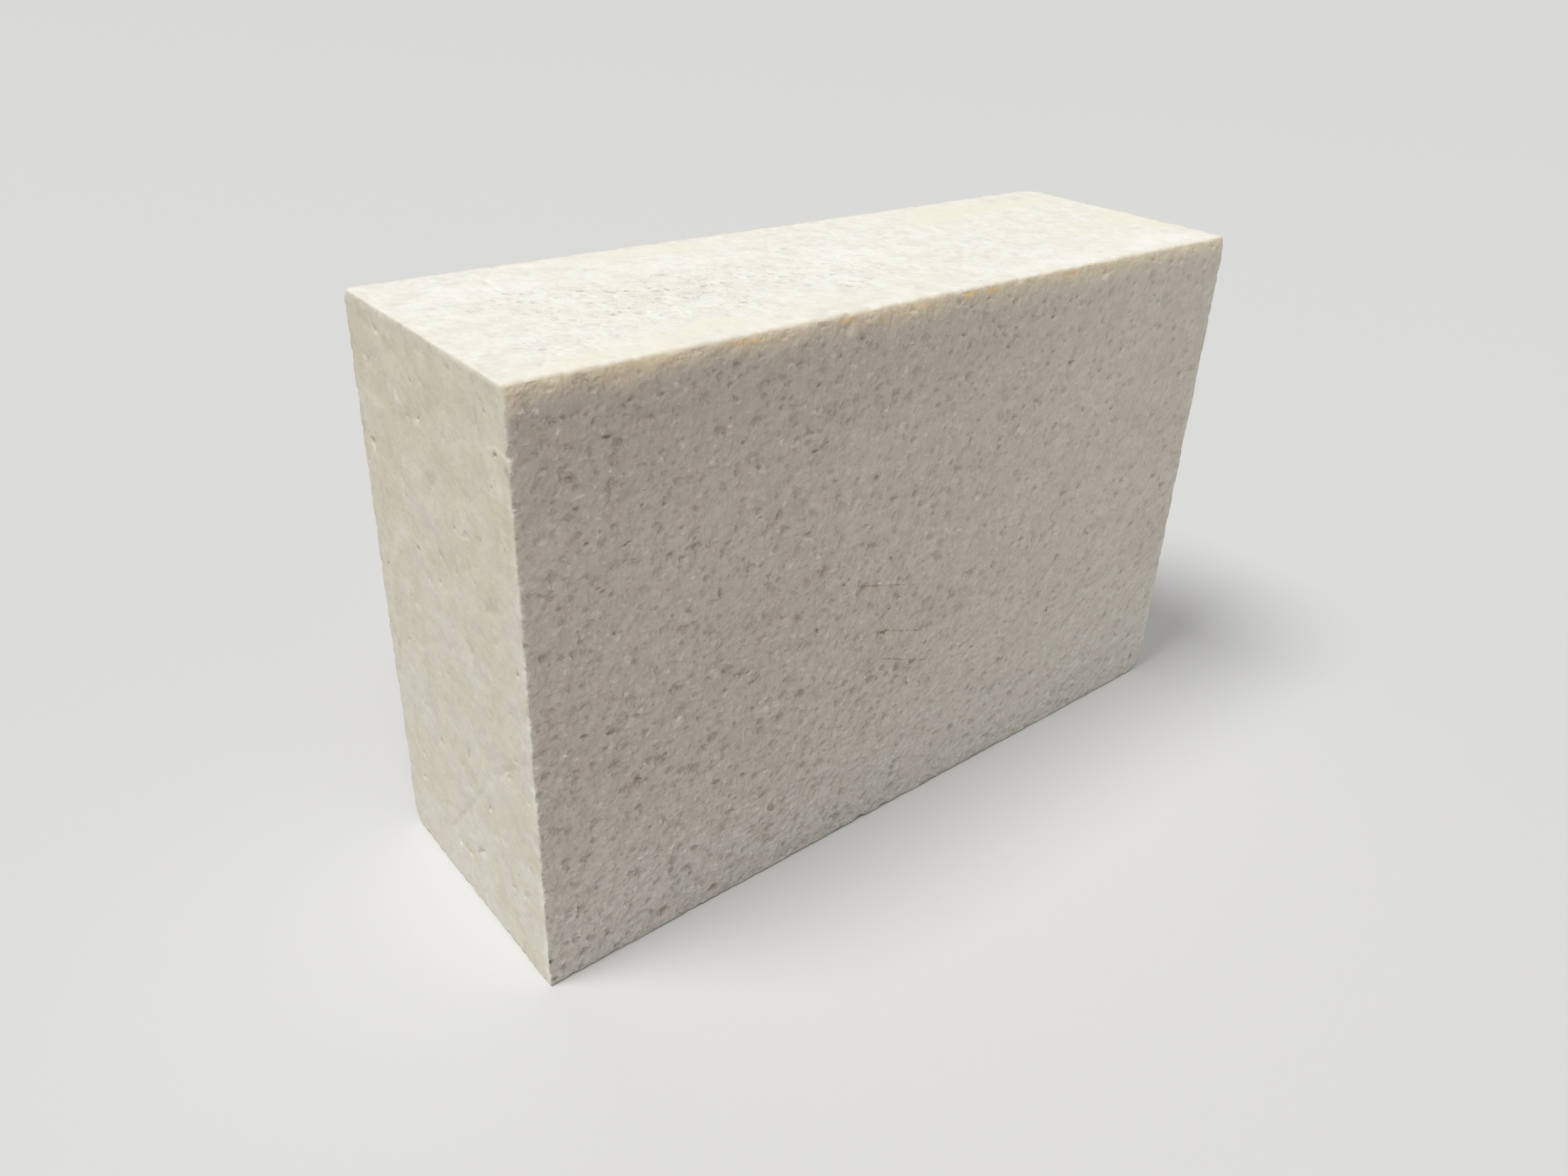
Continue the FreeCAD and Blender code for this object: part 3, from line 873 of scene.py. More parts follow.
def crease_nearness(side):
    """1 on the crease and falling off on both sides of it, over the spread of its smears."""
    return np.exp(-distance_to_line(side, CREASE) / SMEAR_SPREAD)


for name, *noise, depth in UNEVENNESS:
    side = sides[name]
    strength = crease_nearness(side) if name in SMEARED_SIDES else 1
    side.layers["relief"] += depth * (side.noise(*noise) - NOISE_MIDDLE) * strength
    side.layers["relief"] *= ramp(side.border, 0, CALM_BORDER)
print("Uneven skin on", len(UNEVENNESS), "sides")

# %% [markdown]
# Along the top of the broad face the arris is worn through to a warmer clay, in a band that wanders from
# four to nine millimetres, with a few amber spots in it. On the ends the same band holds dirt.

# %% Warm arris
WARM_BAND = (4.0, 9.0)
WARM_BAND_NOISE = (8.0, 61, 3)
WARM_STRENGTH = (0.40, 0.80)
WARM_STRENGTH_NOISE = (15.0, 62, 1)
# The top's strip along the broad face's arris, tinted as painted glow: its width and strength.
TOP_BAND = 2.2
TOP_ARRIS_PAINTED_GLOW = 0.4
# How much darker the band is on the ends.
END_BAND_DARKENING = 0.45
FRONT_AMBER = [
    (53.5, 0.9, 6.0, 1.8, 0, 0.6), (58.0, 1.4, 5.0, 1.8, 0, 0.45), (83.0, 1.0, 6.0, 1.8, 0, 0.55),
    (94.0, 3.0, 3.0, 2.2, 0, 0.35), (106.0, 1.4, 4.0, 1.6, 0, 0.35), (122.0, 1.0, 7.0, 1.8, 0, 0.65),
    (130.0, 1.1, 6.0, 1.8, 0, 0.6), (161.0, 1.0, 5.5, 1.6, 0, 0.6), (36.0, 1.4, 4.0, 1.6, 0, 0.3),
]


def along_arris(right, noise, low_high):
    """A number that wanders between two limits along the arris."""
    places = np.stack([right, np.zeros_like(right), np.zeros_like(right)], axis=1)
    return low_high[0] + np.ptp(low_high) * layered_noise(places, *noise)


def band_depth(right):
    """How far below the top the band ends, for each place along the arris."""
    return along_arris(right, WARM_BAND_NOISE, WARM_BAND)


def warm_band(side):
    """Full on the upper arris, and fading out at a depth that wanders along it."""
    strength = along_arris(side.right, WARM_STRENGTH_NOISE, WARM_STRENGTH)
    share = np.clip(1 - side.down[None, :] / band_depth(side.right)[:, None], 0, 1)
    return strength[:, None] * share


# Partly painted light: the warm band is also the glow through the sunlit arris.
for name in ("front", "back"):
    sides[name].lay("warm", EVERYWHERE, warm_band(sides[name]))
# On the ends the band goes into the hollow layer, so it is darker there.
for name in ("left_end", "right_end"):
    sides[name].lay("hollow", EVERYWHERE, END_BAND_DARKENING * warm_band(sides[name]))
# Painted light: the top's strip along the broad face's arris takes the warm glow over the shade of its
# groove.
top.lay("warm", EVERYWHERE, TOP_ARRIS_PAINTED_GLOW * ramp(top.tall - top.down, TOP_BAND, 0)[None, :])
place_marks(sides["front"], [], {"amber": FRONT_AMBER})
print("Amber spots:", len(FRONT_AMBER))

# %% [markdown]
# ## Arrises, chips and corners
#
# Firebrick is hard but crumbly, so its arrises wear unevenly: a little rounding everywhere, small bites
# here and there, and a lost flake at four of the corners. The solid has the even rounding and the flakes.
# Here the same shape is written as a gap field, the distance from a point to the worn surface, and each
# point of the lattice walks inwards until that gap is used up. The way inwards fans out from a smaller
# block inside, so points near an arris come in along its diagonal and the quads never fold.

# %% Worn shape
SKIN_INSET = 0.2
ARRIS_RADIUS = (0.20, 0.65)

# Corner flakes, as in the solid: length of edge lost, and the corner's side along X, Y and Z.
FLAKES = [(5.0, 1, -1, -1), (3.5, -1, 1, -1), (5.0, 1, 1, 1), (2.5, -1, 1, 1)]


def smooth_max(first, second, blend):
    """The larger of two gaps, with the crease where they cross rounded over a width of blend."""
    share = np.clip(0.5 + (first - second) / (2 * blend), 0, 1)
    return second + (first - second) * share + blend * share * (1 - share)


def block_gap(points, radius):
    """Distance to the block with rounded arrises: that to a block smaller by the radius, less the radius."""
    beyond = np.abs(points - box_middle) - (box_half - SKIN_INSET - radius[:, None])
    outside = np.linalg.norm(np.maximum(beyond, 0), axis=1)
    return outside + np.minimum(beyond.max(axis=1), 0) - radius


def flake_gap(points, length, corner_side):
    """Distance in front of the plane that crosses three edges at this length from their corner."""
    facing = np.array(corner_side) / math.sqrt(3)
    corner = box_middle + box_half * corner_side
    return (points - corner) @ facing + length / math.sqrt(3)


print("Flakes lost from the corners, mm:", [length for length, *corner_side in FLAKES])

# %% [markdown]
# A bite is where a ball that stands just outside an arris reaches into the brick. Most bites are small,
# shallow and scattered at random. The few that show in the outline are read off: notches along the low
# edge of the broad face, and nicks down the upright arris between it and the left end.

# %% Bites and notches
BITE_PITCH = 3.2
BITE_RADIUS = (0.8, 2.8)
BITE_DEPTH = (0.06, 0.52)
BITE_SHALLOWNESS = 3
BITE_LEAN = (0.15, 0.85)
BITE_SEED = 31

# Read off along an arris: how far along it the ball lies, its radius and how deep it reaches.
LOW_NOTCHES = [
    (6.0, 2.2, 0.9), (18.2, 1.4, 0.5), (37.9, 1.4, 0.6), (52.7, 1.6, 0.7), (89.6, 3.2, 0.9), (98.5, 3.8, 1.4),
    (107.6, 3.4, 1.1), (127.6, 3.6, 0.9), (146.0, 3.0, 0.8), (192.5, 2.0, 0.6), (80.0, 2.4, 0.6),
]
UPRIGHT_NICKS = [
    (14.3, 1.9, 1.3), (24.6, 1.0, 0.45), (104.8, 1.2, 0.6), (128.0, 1.1, 0.6), (137.5, 1.4, 0.6),
]


def bites_along_edges():
    """Random bites on the twelve arrises: middles and radii of balls that each cut a little into the edge.

    A ball stands off the edge, leaning towards one of its sides or the other, so far that it reaches in by
    the bite's depth, which is counted from the rounded arris.
    """
    rng = np.random.default_rng(BITE_SEED)
    middles, radii = [], []
    for axis in (X, Y, Z):
        others = [a for a in (X, Y, Z) if a != axis]
        for signs in itertools.product((-1, 1), repeat=2):
            count = int(2 * box_half[axis] / BITE_PITCH)
            places = np.zeros((count, 3))
            places[:, axis] = rng.uniform(box_low[axis], box_high[axis], count)
            radius = rng.uniform(*BITE_RADIUS, count)
            depth = BITE_DEPTH[0] + np.ptp(BITE_DEPTH) * rng.random(count) ** BITE_SHALLOWNESS
            out = radius - depth - ARRIS_RADIUS[0] * (math.sqrt(2) - 1)
            lean = rng.uniform(*BITE_LEAN, count) * math.pi / 2
            for other, sign, share in zip(others, signs, (np.cos(lean), np.sin(lean))):
                edge = box_high[other] if sign > 0 else box_low[other]
                places[:, other] = edge + sign * share * out
            middles.append(places)
            radii.append(radius)
    return np.concatenate(middles), np.concatenate(radii)


def notches_along(rows, start, along, out):
    """Notches read off one arris: middles and radii of balls that stand off it along its diagonal."""
    places, radii, depths = np.transpose(rows)
    off = (radii - depths) / math.sqrt(2)
    return np.array(start) + np.outer(places, along) + np.outer(off, out), radii


low_front_left = (box_low[X], box_low[Y], box_low[Z])
top_front_left = (box_low[X], box_low[Y], box_high[Z])
balls = [
    bites_along_edges(),
    notches_along(LOW_NOTCHES, low_front_left, (1, 0, 0), (0, -1, -1)),
    notches_along(UPRIGHT_NICKS, top_front_left, (0, 0, -1), (-1, -1, 0)),
]
bite_middles, bite_radii = (np.concatenate(parts) for parts in zip(*balls))
print("Bites along the arrises:", len(bite_radii))

# %% [markdown]
# Each point needs its way inwards, and each point near an arris needs to know how uneven the wear is
# there: how round the arris, how crumbled its edge, and how rough the break of a flake.

# %% Uneven arrises
FAN_DEPTH = 9.0
BROAD_WAVE = 0.14
BROAD_WAVE_NOISE = (34.0, 41, 1)
EDGE_WAVE = 0.28
EDGE_WAVE_NOISE = (7.0, 42, 1)
EDGE_WAVE_RAMP = (0.4, 1.0)
EDGE_CRUMB = 0.42
EDGE_CRUMB_NOISE = (1.8, 43, 3)
EDGE_CRUMB_RAMP = (0.42, 0.75)
ARRIS_NOISE = (9.0, 44, 1)
TOP_ARRIS_EXTRA = 0.35
TOP_ARRIS_REACH = 6.0
FLAKE_ROUGHNESS = 0.5
FLAKE_NOISE = (2.2, 45, 2)


def gather(layer):
    """One value for each point of the lattice: the largest that its sides give."""
    values = np.full(len(start_points), -np.inf)
    for side in sides.values():
        values[side.numbers] = np.maximum(values[side.numbers], side.layers[layer])
    return values


inner_points = np.clip(start_points, box_low + FAN_DEPTH, box_high - FAN_DEPTH)
outward = start_points - inner_points
outward /= np.linalg.norm(outward, axis=1)[:, None]
from_sides = np.sort(box_half - np.abs(start_points - box_middle), axis=1)
near_arris = np.flatnonzero(from_sides[:, 1] < FAN_DEPTH)
near_points = start_points[near_arris]

relief = gather("relief")
relief += BROAD_WAVE * (layered_noise(start_points, *BROAD_WAVE_NOISE) - NOISE_MIDDLE)
edge_rough = EDGE_WAVE * ramp(layered_noise(near_points, *EDGE_WAVE_NOISE), *EDGE_WAVE_RAMP)
edge_rough += EDGE_CRUMB * ramp(layered_noise(near_points, *EDGE_CRUMB_NOISE), *EDGE_CRUMB_RAMP)

to_top_arris = (near_points - box_low)[:, Y] + (box_high - near_points)[:, Z]
arris_radius = ARRIS_RADIUS[0] + np.ptp(ARRIS_RADIUS) * layered_noise(near_points, *ARRIS_NOISE)
arris_radius += TOP_ARRIS_EXTRA * ramp(to_top_arris, TOP_ARRIS_REACH, 0)
flake_rough = FLAKE_ROUGHNESS * (layered_noise(near_points, *FLAKE_NOISE) - NOISE_MIDDLE)
print("Points near an arris:", len(near_arris), "of", len(start_points))

# %% [markdown]
# The walk is done only near the arrises. Each step takes part of the gap that is left, so that no point
# walks too far. On the flats a point simply sinks by its relief.

# %% Walk in
BITE_REACH = 5.0
LEAN_DEPTH = 1.0
EDGE_FADE = 1.0
FLAKE_BLEND = 0.9
WALK_STEPS = 18
WALK_SHARE = 0.55

lean_reach = band_depth(near_points[:, X] - box_low[X])
near_bites = [
    np.flatnonzero(np.abs(near_points - middle).max(axis=1) < BITE_REACH) for middle in bite_middles
]


def lean_back(points):
    """How far the broad face leans back at its top: most on the arris, nothing where the warm band ends."""
    share = np.clip(1 - (box_high[Z] - points[:, Z]) / lean_reach, 0, 1)
    return LEAN_DEPTH * share**2 * (points[:, Y] < box_middle[Y])


def worn_gap(points):
    """Distance from the points near arrises to the worn brick: a block, less its flakes and bites."""
    leaned = points.copy()
    leaned[:, Y] -= lean_back(points)
    depths = np.sort(box_half - np.abs(leaned - box_middle), axis=1)
    gap = block_gap(leaned, arris_radius) + edge_rough * np.exp(-np.clip(depths[:, 1], 0, None) / EDGE_FADE)
    for length, *corner_side in FLAKES:
        gap = smooth_max(gap, flake_gap(points, length, corner_side) + flake_rough, FLAKE_BLEND)
    for near, middle, radius in zip(near_bites, bite_middles, bite_radii):
        into = radius - np.linalg.norm(points[near] - middle, axis=1)
        gap[near] = np.maximum(gap[near], into)
    return gap


travel = np.zeros(len(near_arris))
for _ in range(WALK_STEPS):
    here = near_points - travel[:, None] * outward[near_arris]
    travel = travel + WALK_SHARE * np.clip(worn_gap(here), 0, None)
sunk = np.full(len(start_points), SKIN_INSET)
sunk[near_arris] = travel
sunk = np.maximum(sunk + relief, 0)
brick_points = start_points - sunk[:, None] * outward
print("Deepest wear, mm:", sunk.max().round(2), "and on the flats", np.median(sunk).round(3))

# %% [markdown]
# ## One mesh, thinned where it is flat
#
# The lattice has far more points than the flats need. Each point carries its finish in named attributes,
# the Decimate modifier then joins points where the surface is nearly flat, and the attributes are blended
# along with them. What is left goes into the pits and arrises.

# %% Mesh
TRIANGLE_LIMIT = 198_000
SHARED_WIDTH = 0.5


def facing_share(axis):
    """How much a point belongs to the two sides across one axis: sides share the arris where they meet."""
    nearness = np.exp(-(box_half - np.abs(start_points - box_middle)) / SHARED_WIDTH)
    return nearness[:, axis] / nearness.sum(axis=1)


def make_brick_mesh():
    """The worn lattice as a closed mesh in metres, with its finishes as attributes."""
    mesh = bpy.data.meshes.new("firebrick_skin")
    mesh.from_pydata(brick_points * MM, [], quads)
    finishes = {name: gather(name) for name in FINISHES}
    finishes["broad_face"] = facing_share(Y)
    finishes["bed_face"] = facing_share(Z)
    for name, values in finishes.items():
        mesh.attributes.new(name, "FLOAT", "POINT").data.foreach_set("value", values.astype(np.float32))
    mesh.shade_smooth()
    mesh.update()
    return mesh


def thin(mesh):
    """Decimate a mesh to the triangle limit, marked places apart, and return the result as a plain mesh."""
    rough = bpy.data.objects.new("firebrick_rough", mesh)
    bpy.context.scene.collection.objects.link(rough)
    marked = rough.vertex_groups.new(name="marked")
    marked.add(np.flatnonzero(gather("marked") > 0).tolist(), 1.0, "REPLACE")
    thinning = rough.modifiers.new("thin_the_flats", "DECIMATE")
    thinning.vertex_group = marked.name
    thinning.invert_vertex_group = True
    thinning.ratio = min(1, TRIANGLE_LIMIT / (2 * len(mesh.polygons)))
    thinning.use_collapse_triangulate = True
    graph = bpy.context.evaluated_depsgraph_get()
    thinned = bpy.data.meshes.new_from_object(rough.evaluated_get(graph), depsgraph=graph)
    bpy.data.objects.remove(rough)
    bpy.data.meshes.remove(mesh)
    places = np.empty(3 * len(thinned.vertices), dtype=np.float32)
    thinned.vertices.foreach_get("co", places)
    inside = np.clip(places.reshape(-1, 3), box_low * MM, box_high * MM)
    thinned.vertices.foreach_set("co", inside.astype(np.float32).ravel())
    thinned.update()
    return thinned


brick_mesh = thin(make_brick_mesh())
brick_mesh.name = "firebrick_skin"
print("Thinned to", len(brick_mesh.polygons), "triangles")

# %% [markdown]
# ## A map of the skin
#
# When the finish is baked to pictures, each triangle needs its own place on a flat map. A brick unfolds
# simply: each triangle goes on the map of the side that it faces most, at one scale, and the six maps are
# packed close together so that no part of the picture is wasted.

# %% Map
MAP_GAP = 1.5
MAP_SIZE = 2 * (box_half[X] + box_half[Z] + MAP_GAP) + MAP_GAP


def map_corners():
    """Lower left corner of each side's map, and the axes that run along its width and height."""
    length, thickness, height = 2 * box_half
    second_column = length + MAP_GAP
    third_column = second_column + thickness + MAP_GAP
    return {
        (Y, 0): (0, 0, X, Z),
        (Y, 1): (0, height + MAP_GAP, X, Z),
        (Z, 1): (0, 2 * (height + MAP_GAP), X, Y),
        (Z, 0): (second_column, 0, Y, X),
        (X, 0): (third_column, 0, Y, Z),
        (X, 1): (third_column, height + MAP_GAP, Y, Z),
    }


def map_skin(mesh):
    """Give each corner of each triangle its place on the map of the side that the triangle faces most."""
    count = len(mesh.polygons)
    facing = np.empty(3 * count, dtype=np.float32)
    mesh.polygons.foreach_get("normal", facing)
    facing = facing.reshape(count, 3)
    corner_points = np.empty(len(mesh.loops), dtype=np.int32)
    mesh.loops.foreach_get("vertex_index", corner_points)
    places = np.empty(3 * len(mesh.vertices), dtype=np.float32)
    mesh.vertices.foreach_get("co", places)
    corners = places.reshape(-1, 3)[corner_points].reshape(count, 3, 3) / MM - box_low
    axis = np.abs(facing).argmax(axis=1)
    end = (facing[np.arange(count), axis] > 0).astype(int)
    spots = np.empty((count, 3, 2))
    for (map_axis, map_end), (right, up, width_axis, height_axis) in map_corners().items():
        mine = (axis == map_axis) & (end == map_end)
        spots[mine] = corners[mine][:, :, [width_axis, height_axis]] + (right, up)
    layer = mesh.uv_layers.new(name="OFBake")
    layer.data.foreach_set("uv", ((spots + MAP_GAP / 2) / MAP_SIZE).astype(np.float32).ravel())


map_skin(brick_mesh)
print("Map of", round(MAP_SIZE), "mm square")

# %% [markdown]
# ## A small language for finishes
#
# A finish is a tree of nodes, and wiring nodes by hand hides the sum that they work out. This class wraps
# one socket, so that a sum on sockets reads as a sum, and any other kind of node comes from one method.

# %% Node sums
# Numbers of a Mix node's sockets: its share, its two colours and its result.
MIX_SHARE = 0
MIX_FIRST = 6
MIX_SECOND = 7
MIX_RESULT = 2


class Wire:
    """One output socket of a material's nodes. Sums on wires add Math nodes."""

    def __init__(self, socket):
        self.socket = socket
        self.tree = socket.id_data

    @staticmethod
    def node(tree, kind, settings, sockets, output=0):
        """Add a node: its settings first, then a value or a wire for each named or numbered socket."""
        made = tree.nodes.new(kind)
        for name, value in settings.items():
            setattr(made, name, value)
        for key, value in sockets.items():
            if isinstance(value, Wire):
                tree.links.new(value.socket, made.inputs[key])
            else:
                made.inputs[key].default_value = value
        return Wire(made.outputs[output])

    def beside(self, output):
        """Another output of the same node."""
        return Wire(self.socket.node.outputs[output])

    def sum(self, operation, first, second):
        """A Math node on two numbers or wires."""
        return Wire.node(self.tree, "ShaderNodeMath", {"operation": operation}, {0: first, 1: second})

    def size(self):
        """This wire without its sign."""
        return Wire.node(self.tree, "ShaderNodeMath", {"operation": "ABSOLUTE"}, {0: self})

    def __add__(self, other):
        return self.sum("ADD", self, other)

    def __sub__(self, other):
        return self.sum("SUBTRACT", self, other)

    def __rsub__(self, other):
        return self.sum("SUBTRACT", other, self)

    def __mul__(self, other):
        return self.sum("MULTIPLY", self, other)

    __radd__ = __add__
    __rmul__ = __mul__

    def ramp(self, start, end):
        """0 before start, 1 after end, smooth between."""
        settings = {"interpolation_type": "SMOOTHSTEP"}
        return Wire.node(self.tree, "ShaderNodeMapRange", settings, {0: self, 1: start, 2: end})

    def mix(self, first, second):
        """The first colour where this wire is 0 and the second where it is 1."""
        sockets = {MIX_SHARE: self, MIX_FIRST: first, MIX_SECOND: second}
        return Wire.node(self.tree, "ShaderNodeMix", {"data_type": "RGBA"}, sockets, MIX_RESULT)


print("Wires ready")

# %% [markdown]
# ## Fired clay
#
# The clay is a pale cream, a shade pinker and darker on the broad faces, which were rubbed rough, and whiter
# on the beds and ends, which keep their smooth fired skin. That difference is partly the clay's own tone and
# partly painted shade and painted light: the broad face is turned from the main light and the top faces it.
# The foot of the broad face is painted lighter and bluer, as painted light that lifts the shade near the
# floor. Over that lie the specks of crushed grain, soft blotches a few centimetres wide, dirt in the hollows
# with painted shade in the crease and the nick of the left end, a few rust spots and a warmer tint on the
# worn arrises, partly a painted glow on the top arris of the broad face. Each is a mask from a noise node or
# from an attribute of the mesh, and the masks are mixed one over another.
# First the colours, as the share of red, green and blue light that each gives back, and then 1 for solid.

# %% Colours
BROAD_LEFT = (0.610, 0.545, 0.478, 1)
BROAD_RIGHT = (0.735, 0.697, 0.606, 1)
BROAD_PINK = (0.655, 0.550, 0.495, 1)
BROAD_HIGH = (0.517, 0.450, 0.382, 1)
# Painted light: the lighter, bluer clay of the broad face's foot, lifting the shade near the floor.
BROAD_FOOT_PAINTED_LIGHT = (0.750, 0.750, 0.700, 1)
BED_COLOUR = (0.860, 0.852, 0.780, 1)
BED_CREAM = (0.853, 0.838, 0.748, 1)
END_COLOUR = (0.685, 0.635, 0.490, 1)
END_WHITE = (0.738, 0.718, 0.632, 1)
HOLLOW_GREY = (0.400, 0.360, 0.315, 1)
HOLLOW_RED = (0.430, 0.340, 0.280, 1)
SOOT_COLOUR = (0.060, 0.055, 0.050, 1)
RUST_COLOUR = (0.300, 0.170, 0.080, 1)
CHALK_COLOUR = (0.915, 0.900, 0.840, 1)
CREAM_COLOUR = (0.830, 0.800, 0.680, 1)
# Partly a warmer worn clay, partly painted light: the glow on the broad face's top arris.
WARM_COLOUR = (0.820, 0.680, 0.440, 1)
AMBER_COLOUR = (0.820, 0.530, 0.220, 1)
print("Clay seen as", BROAD_LEFT[:3], "to", BED_COLOUR[:3])

# %% [markdown]
# Next the patterns. A soft tone is a noise that is stretched until it runs from nothing to full, and is
# laid over the clay thinly. A speck is the finest kind of pit. A texture of many scattered points gives the
# distance to the nearest of them, so a ramp on that distance draws compact dots, and the random colour of
# each point says how strong its dot is. A speck holds dirt and sinks into the skin a little, which is what
# lets the light pick it out. A grain is drawn in the same way, but it is pale and stands proud.

# %% Patterns
# Noise: cell in mm, detail and roughness.
SHAKE_NOISE = (1.3, 1, 0.5)
WANDER_NOISE = (2.5, 3, 0.6)

# Soft tones: a noise, and the values where the tone begins and is full.
BLOTCH_TONE = (30.0, 2, 0.5, 0.35, 0.65)
PINK_TONE = (6.5, 3, 0.6, 0.40, 0.62)
PATCH_TONE = (11.0, 4, 0.6, 0.36, 0.64)
RED_TONE = (4.0, 2, 0.5, 0.40, 0.58)
BREAK_TONE = (1.6, 2, 0.5, 0.36, 0.56)
FINE_TONE = (1.2, 2, 0.5, 0.0, 1.0)

# Mottles: a soft tone, and how much dirt it holds.
BROAD_MOTTLES = [(3.4, 2, 0.5, 0.38, 0.64, 0.16), (1.3, 2, 0.5, 0.38, 0.64, 0.16)]
SMOOTH_MOTTLES = [(6.0, 3, 0.6, 0.40, 0.64, 0.13), (2.2, 1, 0.5, 0.40, 0.66, 0.08)]

# Specks and grains: cell in mm, reach of one in cells, its strength, and its depth or height in mm.
BROAD_SPECKS = [(4.2, 0.44, 0.50, 0.56), (2.6, 0.46, 0.48, 0.34), (1.5, 0.44, 0.34, 0.15)]
BROAD_GRAINS = [(3.6, 0.24, 0.60, 0.16), (2.5, 0.44, 0.34, 0.20), (1.4, 0.42, 0.26, 0.10)]
SMOOTH_SPECKS = [(2.4, 0.48, 0.40, 0.40), (1.3, 0.44, 0.26, 0.16)]
SPECK_FLOOR = 0.1
SPECK_CHANCE = (0.25, 0.95)
SPECK_SHAKE = 1.6

# Swells that raise and lower the skin: a noise, and height in mm.
SWELLS = [(0.6, 1, 0.5, 0.08), (1.0, 1, 0.5, 0.18), (1.9, 1, 0.5, 0.50), (4.5, 2, 0.5, 1.00)]
print("Specks about", [row[0] for row in BROAD_SPECKS], "mm apart")

# %% [markdown]
# The finish needs to know what kind of skin each place has. The broad faces were rubbed rough. What the
# rub left is drawn out a little along its direction, fades towards the right and on the warm arris, and is
# a little rougher lower down. The other faces are smooth, and finely dented in places.

# %% Skin
RUBBED_RAMP = (0.3, 0.8)
LEFT_TO_RIGHT = (-100 * MM, 115 * MM)
LOW_TO_HIGH = (20 * MM, 150 * MM)
RUB_LEAN_DEG = 12
RUB_STRETCH = 1.2
RIGHT_FADE = 0.50
WARM_FADE = 1.2
LOW_ROUGHER = 0.22
DENTED_SHARE = (0.10, 0.70)


class Skin:
    """What each place on the brick is like, as wires over Object coordinates and the mesh's attributes."""

    def __init__(self, tree):
        self.tree = tree
        self.place = Wire.node(tree, "ShaderNodeTexCoord", {}, {}, "Object")
        along = Wire.node(tree, "ShaderNodeSeparateXYZ", {}, {0: self.place}, "X")
        self.right = along.ramp(*LEFT_TO_RIGHT)
        self.up = along.beside("Z")
        self.high = self.up.ramp(*LOW_TO_HIGH)
        self.broad = self.attribute("broad_face")
        self.bed = self.attribute("bed_face")
        self.warm = self.attribute("warm")
        rubbed = self.broad.ramp(*RUBBED_RAMP)
        self.smooth = 1 - rubbed
        self.dented = self.smooth * (DENTED_SHARE[0] + self.attribute("dented") * DENTED_SHARE[1])
        self.unfaded = (1 - self.right * rubbed * RIGHT_FADE) * (1 - self.warm * WARM_FADE)
        self.rough = rubbed * self.unfaded * (1 + (1 - self.high) * LOW_ROUGHER)
        self.shaken = self.shake()

    def attribute(self, name):
        """One of the finishes that the mesh carries."""
        return Wire.node(self.tree, "ShaderNodeAttribute", {"attribute_name": name}, {}, "Fac")

    def noise(self, cell, detail, roughness, output="Fac"):
        """Noise from 0 to 1 with cells of this many millimetres."""
        sockets = {"Vector": self.place, "Scale": 1 / (cell * MM), "Detail": detail, "Roughness": roughness}
        return Wire.node(self.tree, "ShaderNodeTexNoise", {}, sockets, output)

    def swing(self, *noise):
        """Noise that goes as far below nothing as above it."""
        return self.noise(*noise) - NOISE_MIDDLE

    def tone(self, cell, detail, roughness, begin, full):
        """A soft tone: noise that is stretched until it runs from nothing to full."""
        return self.noise(cell, detail, roughness).ramp(begin, full)

    def mottles(self, rows):
        """Dirt of some soft tones, summed."""
        return sum(self.tone(*tone) * dirt for *tone, dirt in rows)

    def shake(self):
        """The place, drawn out along the rub and shaken a little, so that no speck is round."""
        turn = (0, math.radians(RUB_LEAN_DEG), 0)
        sockets = {"Vector": self.place, "Rotation": turn, "Scale": (RUB_STRETCH, 1, 1)}
        rub = Wire.node(self.tree, "ShaderNodeMapping", {"vector_type": "TEXTURE"}, sockets)
        sockets = {0: self.noise(*SHAKE_NOISE, "Color"), 1: (SPECK_SHAKE * MM,) * 3, 2: rub}
        return Wire.node(self.tree, "ShaderNodeVectorMath", {"operation": "MULTIPLY_ADD"}, sockets)

    def specks(self, rows):
        """Strength and depth of scattered specks, summed: full at a speck's heart, nothing past its reach."""
        strength = depth = 0
        for cell, reach, strong, deep in rows:
            sockets = {"Vector": self.shaken, "Scale": 1 / (cell * MM)}
            away = Wire.node(self.tree, "ShaderNodeTexVoronoi", {"feature": "F1"}, sockets, "Distance")
            chance = Wire.node(self.tree, "ShaderNodeSeparateColor", {}, {0: away.beside("Color")}, "Red")
            mask = away.ramp(reach, reach * SPECK_FLOOR) * chance.ramp(*SPECK_CHANCE)
            strength = strength + mask * strong
            depth = depth + mask * deep
        return strength, depth


print("Rubbed skin is drawn out by", RUB_STRETCH, "at", RUB_LEAN_DEG, "degrees")

# %% [markdown]
# Last, the masks are put together: the clay with its painted light and shade first, then dirt and grains,
# then stains and the painted glow on top. The same specks and grains give the fine relief.

# %% Finish
HIGH_RAMP = (112 * MM, 138 * MM)
HIGH_SHARE = 0.5
# Painted light at the foot of the broad face: the heights over which it fades, and its strength.
LOW_RAMP = (60 * MM, 0)
LOW_SHARE = 0.5
BLOTCH_SHARE = 0.2
PINK_SHARE = 0.40
PATCH_SHARE = 0.5
# How strongly the hollow layer darkens: dirt in the pits, painted shade in the crease and the nick.
DIRT_AND_SHADE_STRENGTH = 0.62
CHALK_STRENGTH = 0.6
SCRATCH_WANDER = 0.8
SCRATCH_HALF_WIDTH = 0.34
CLAY_ROUGHNESS = 0.82
ROUGHNESS_SPREAD = 0.12
SWELL_SHARE = (0.20, 0.80)
SWELL_DENTED = 0.2
BUMP_STRENGTH = 1.0
BUMP_DISTANCE = 1.0


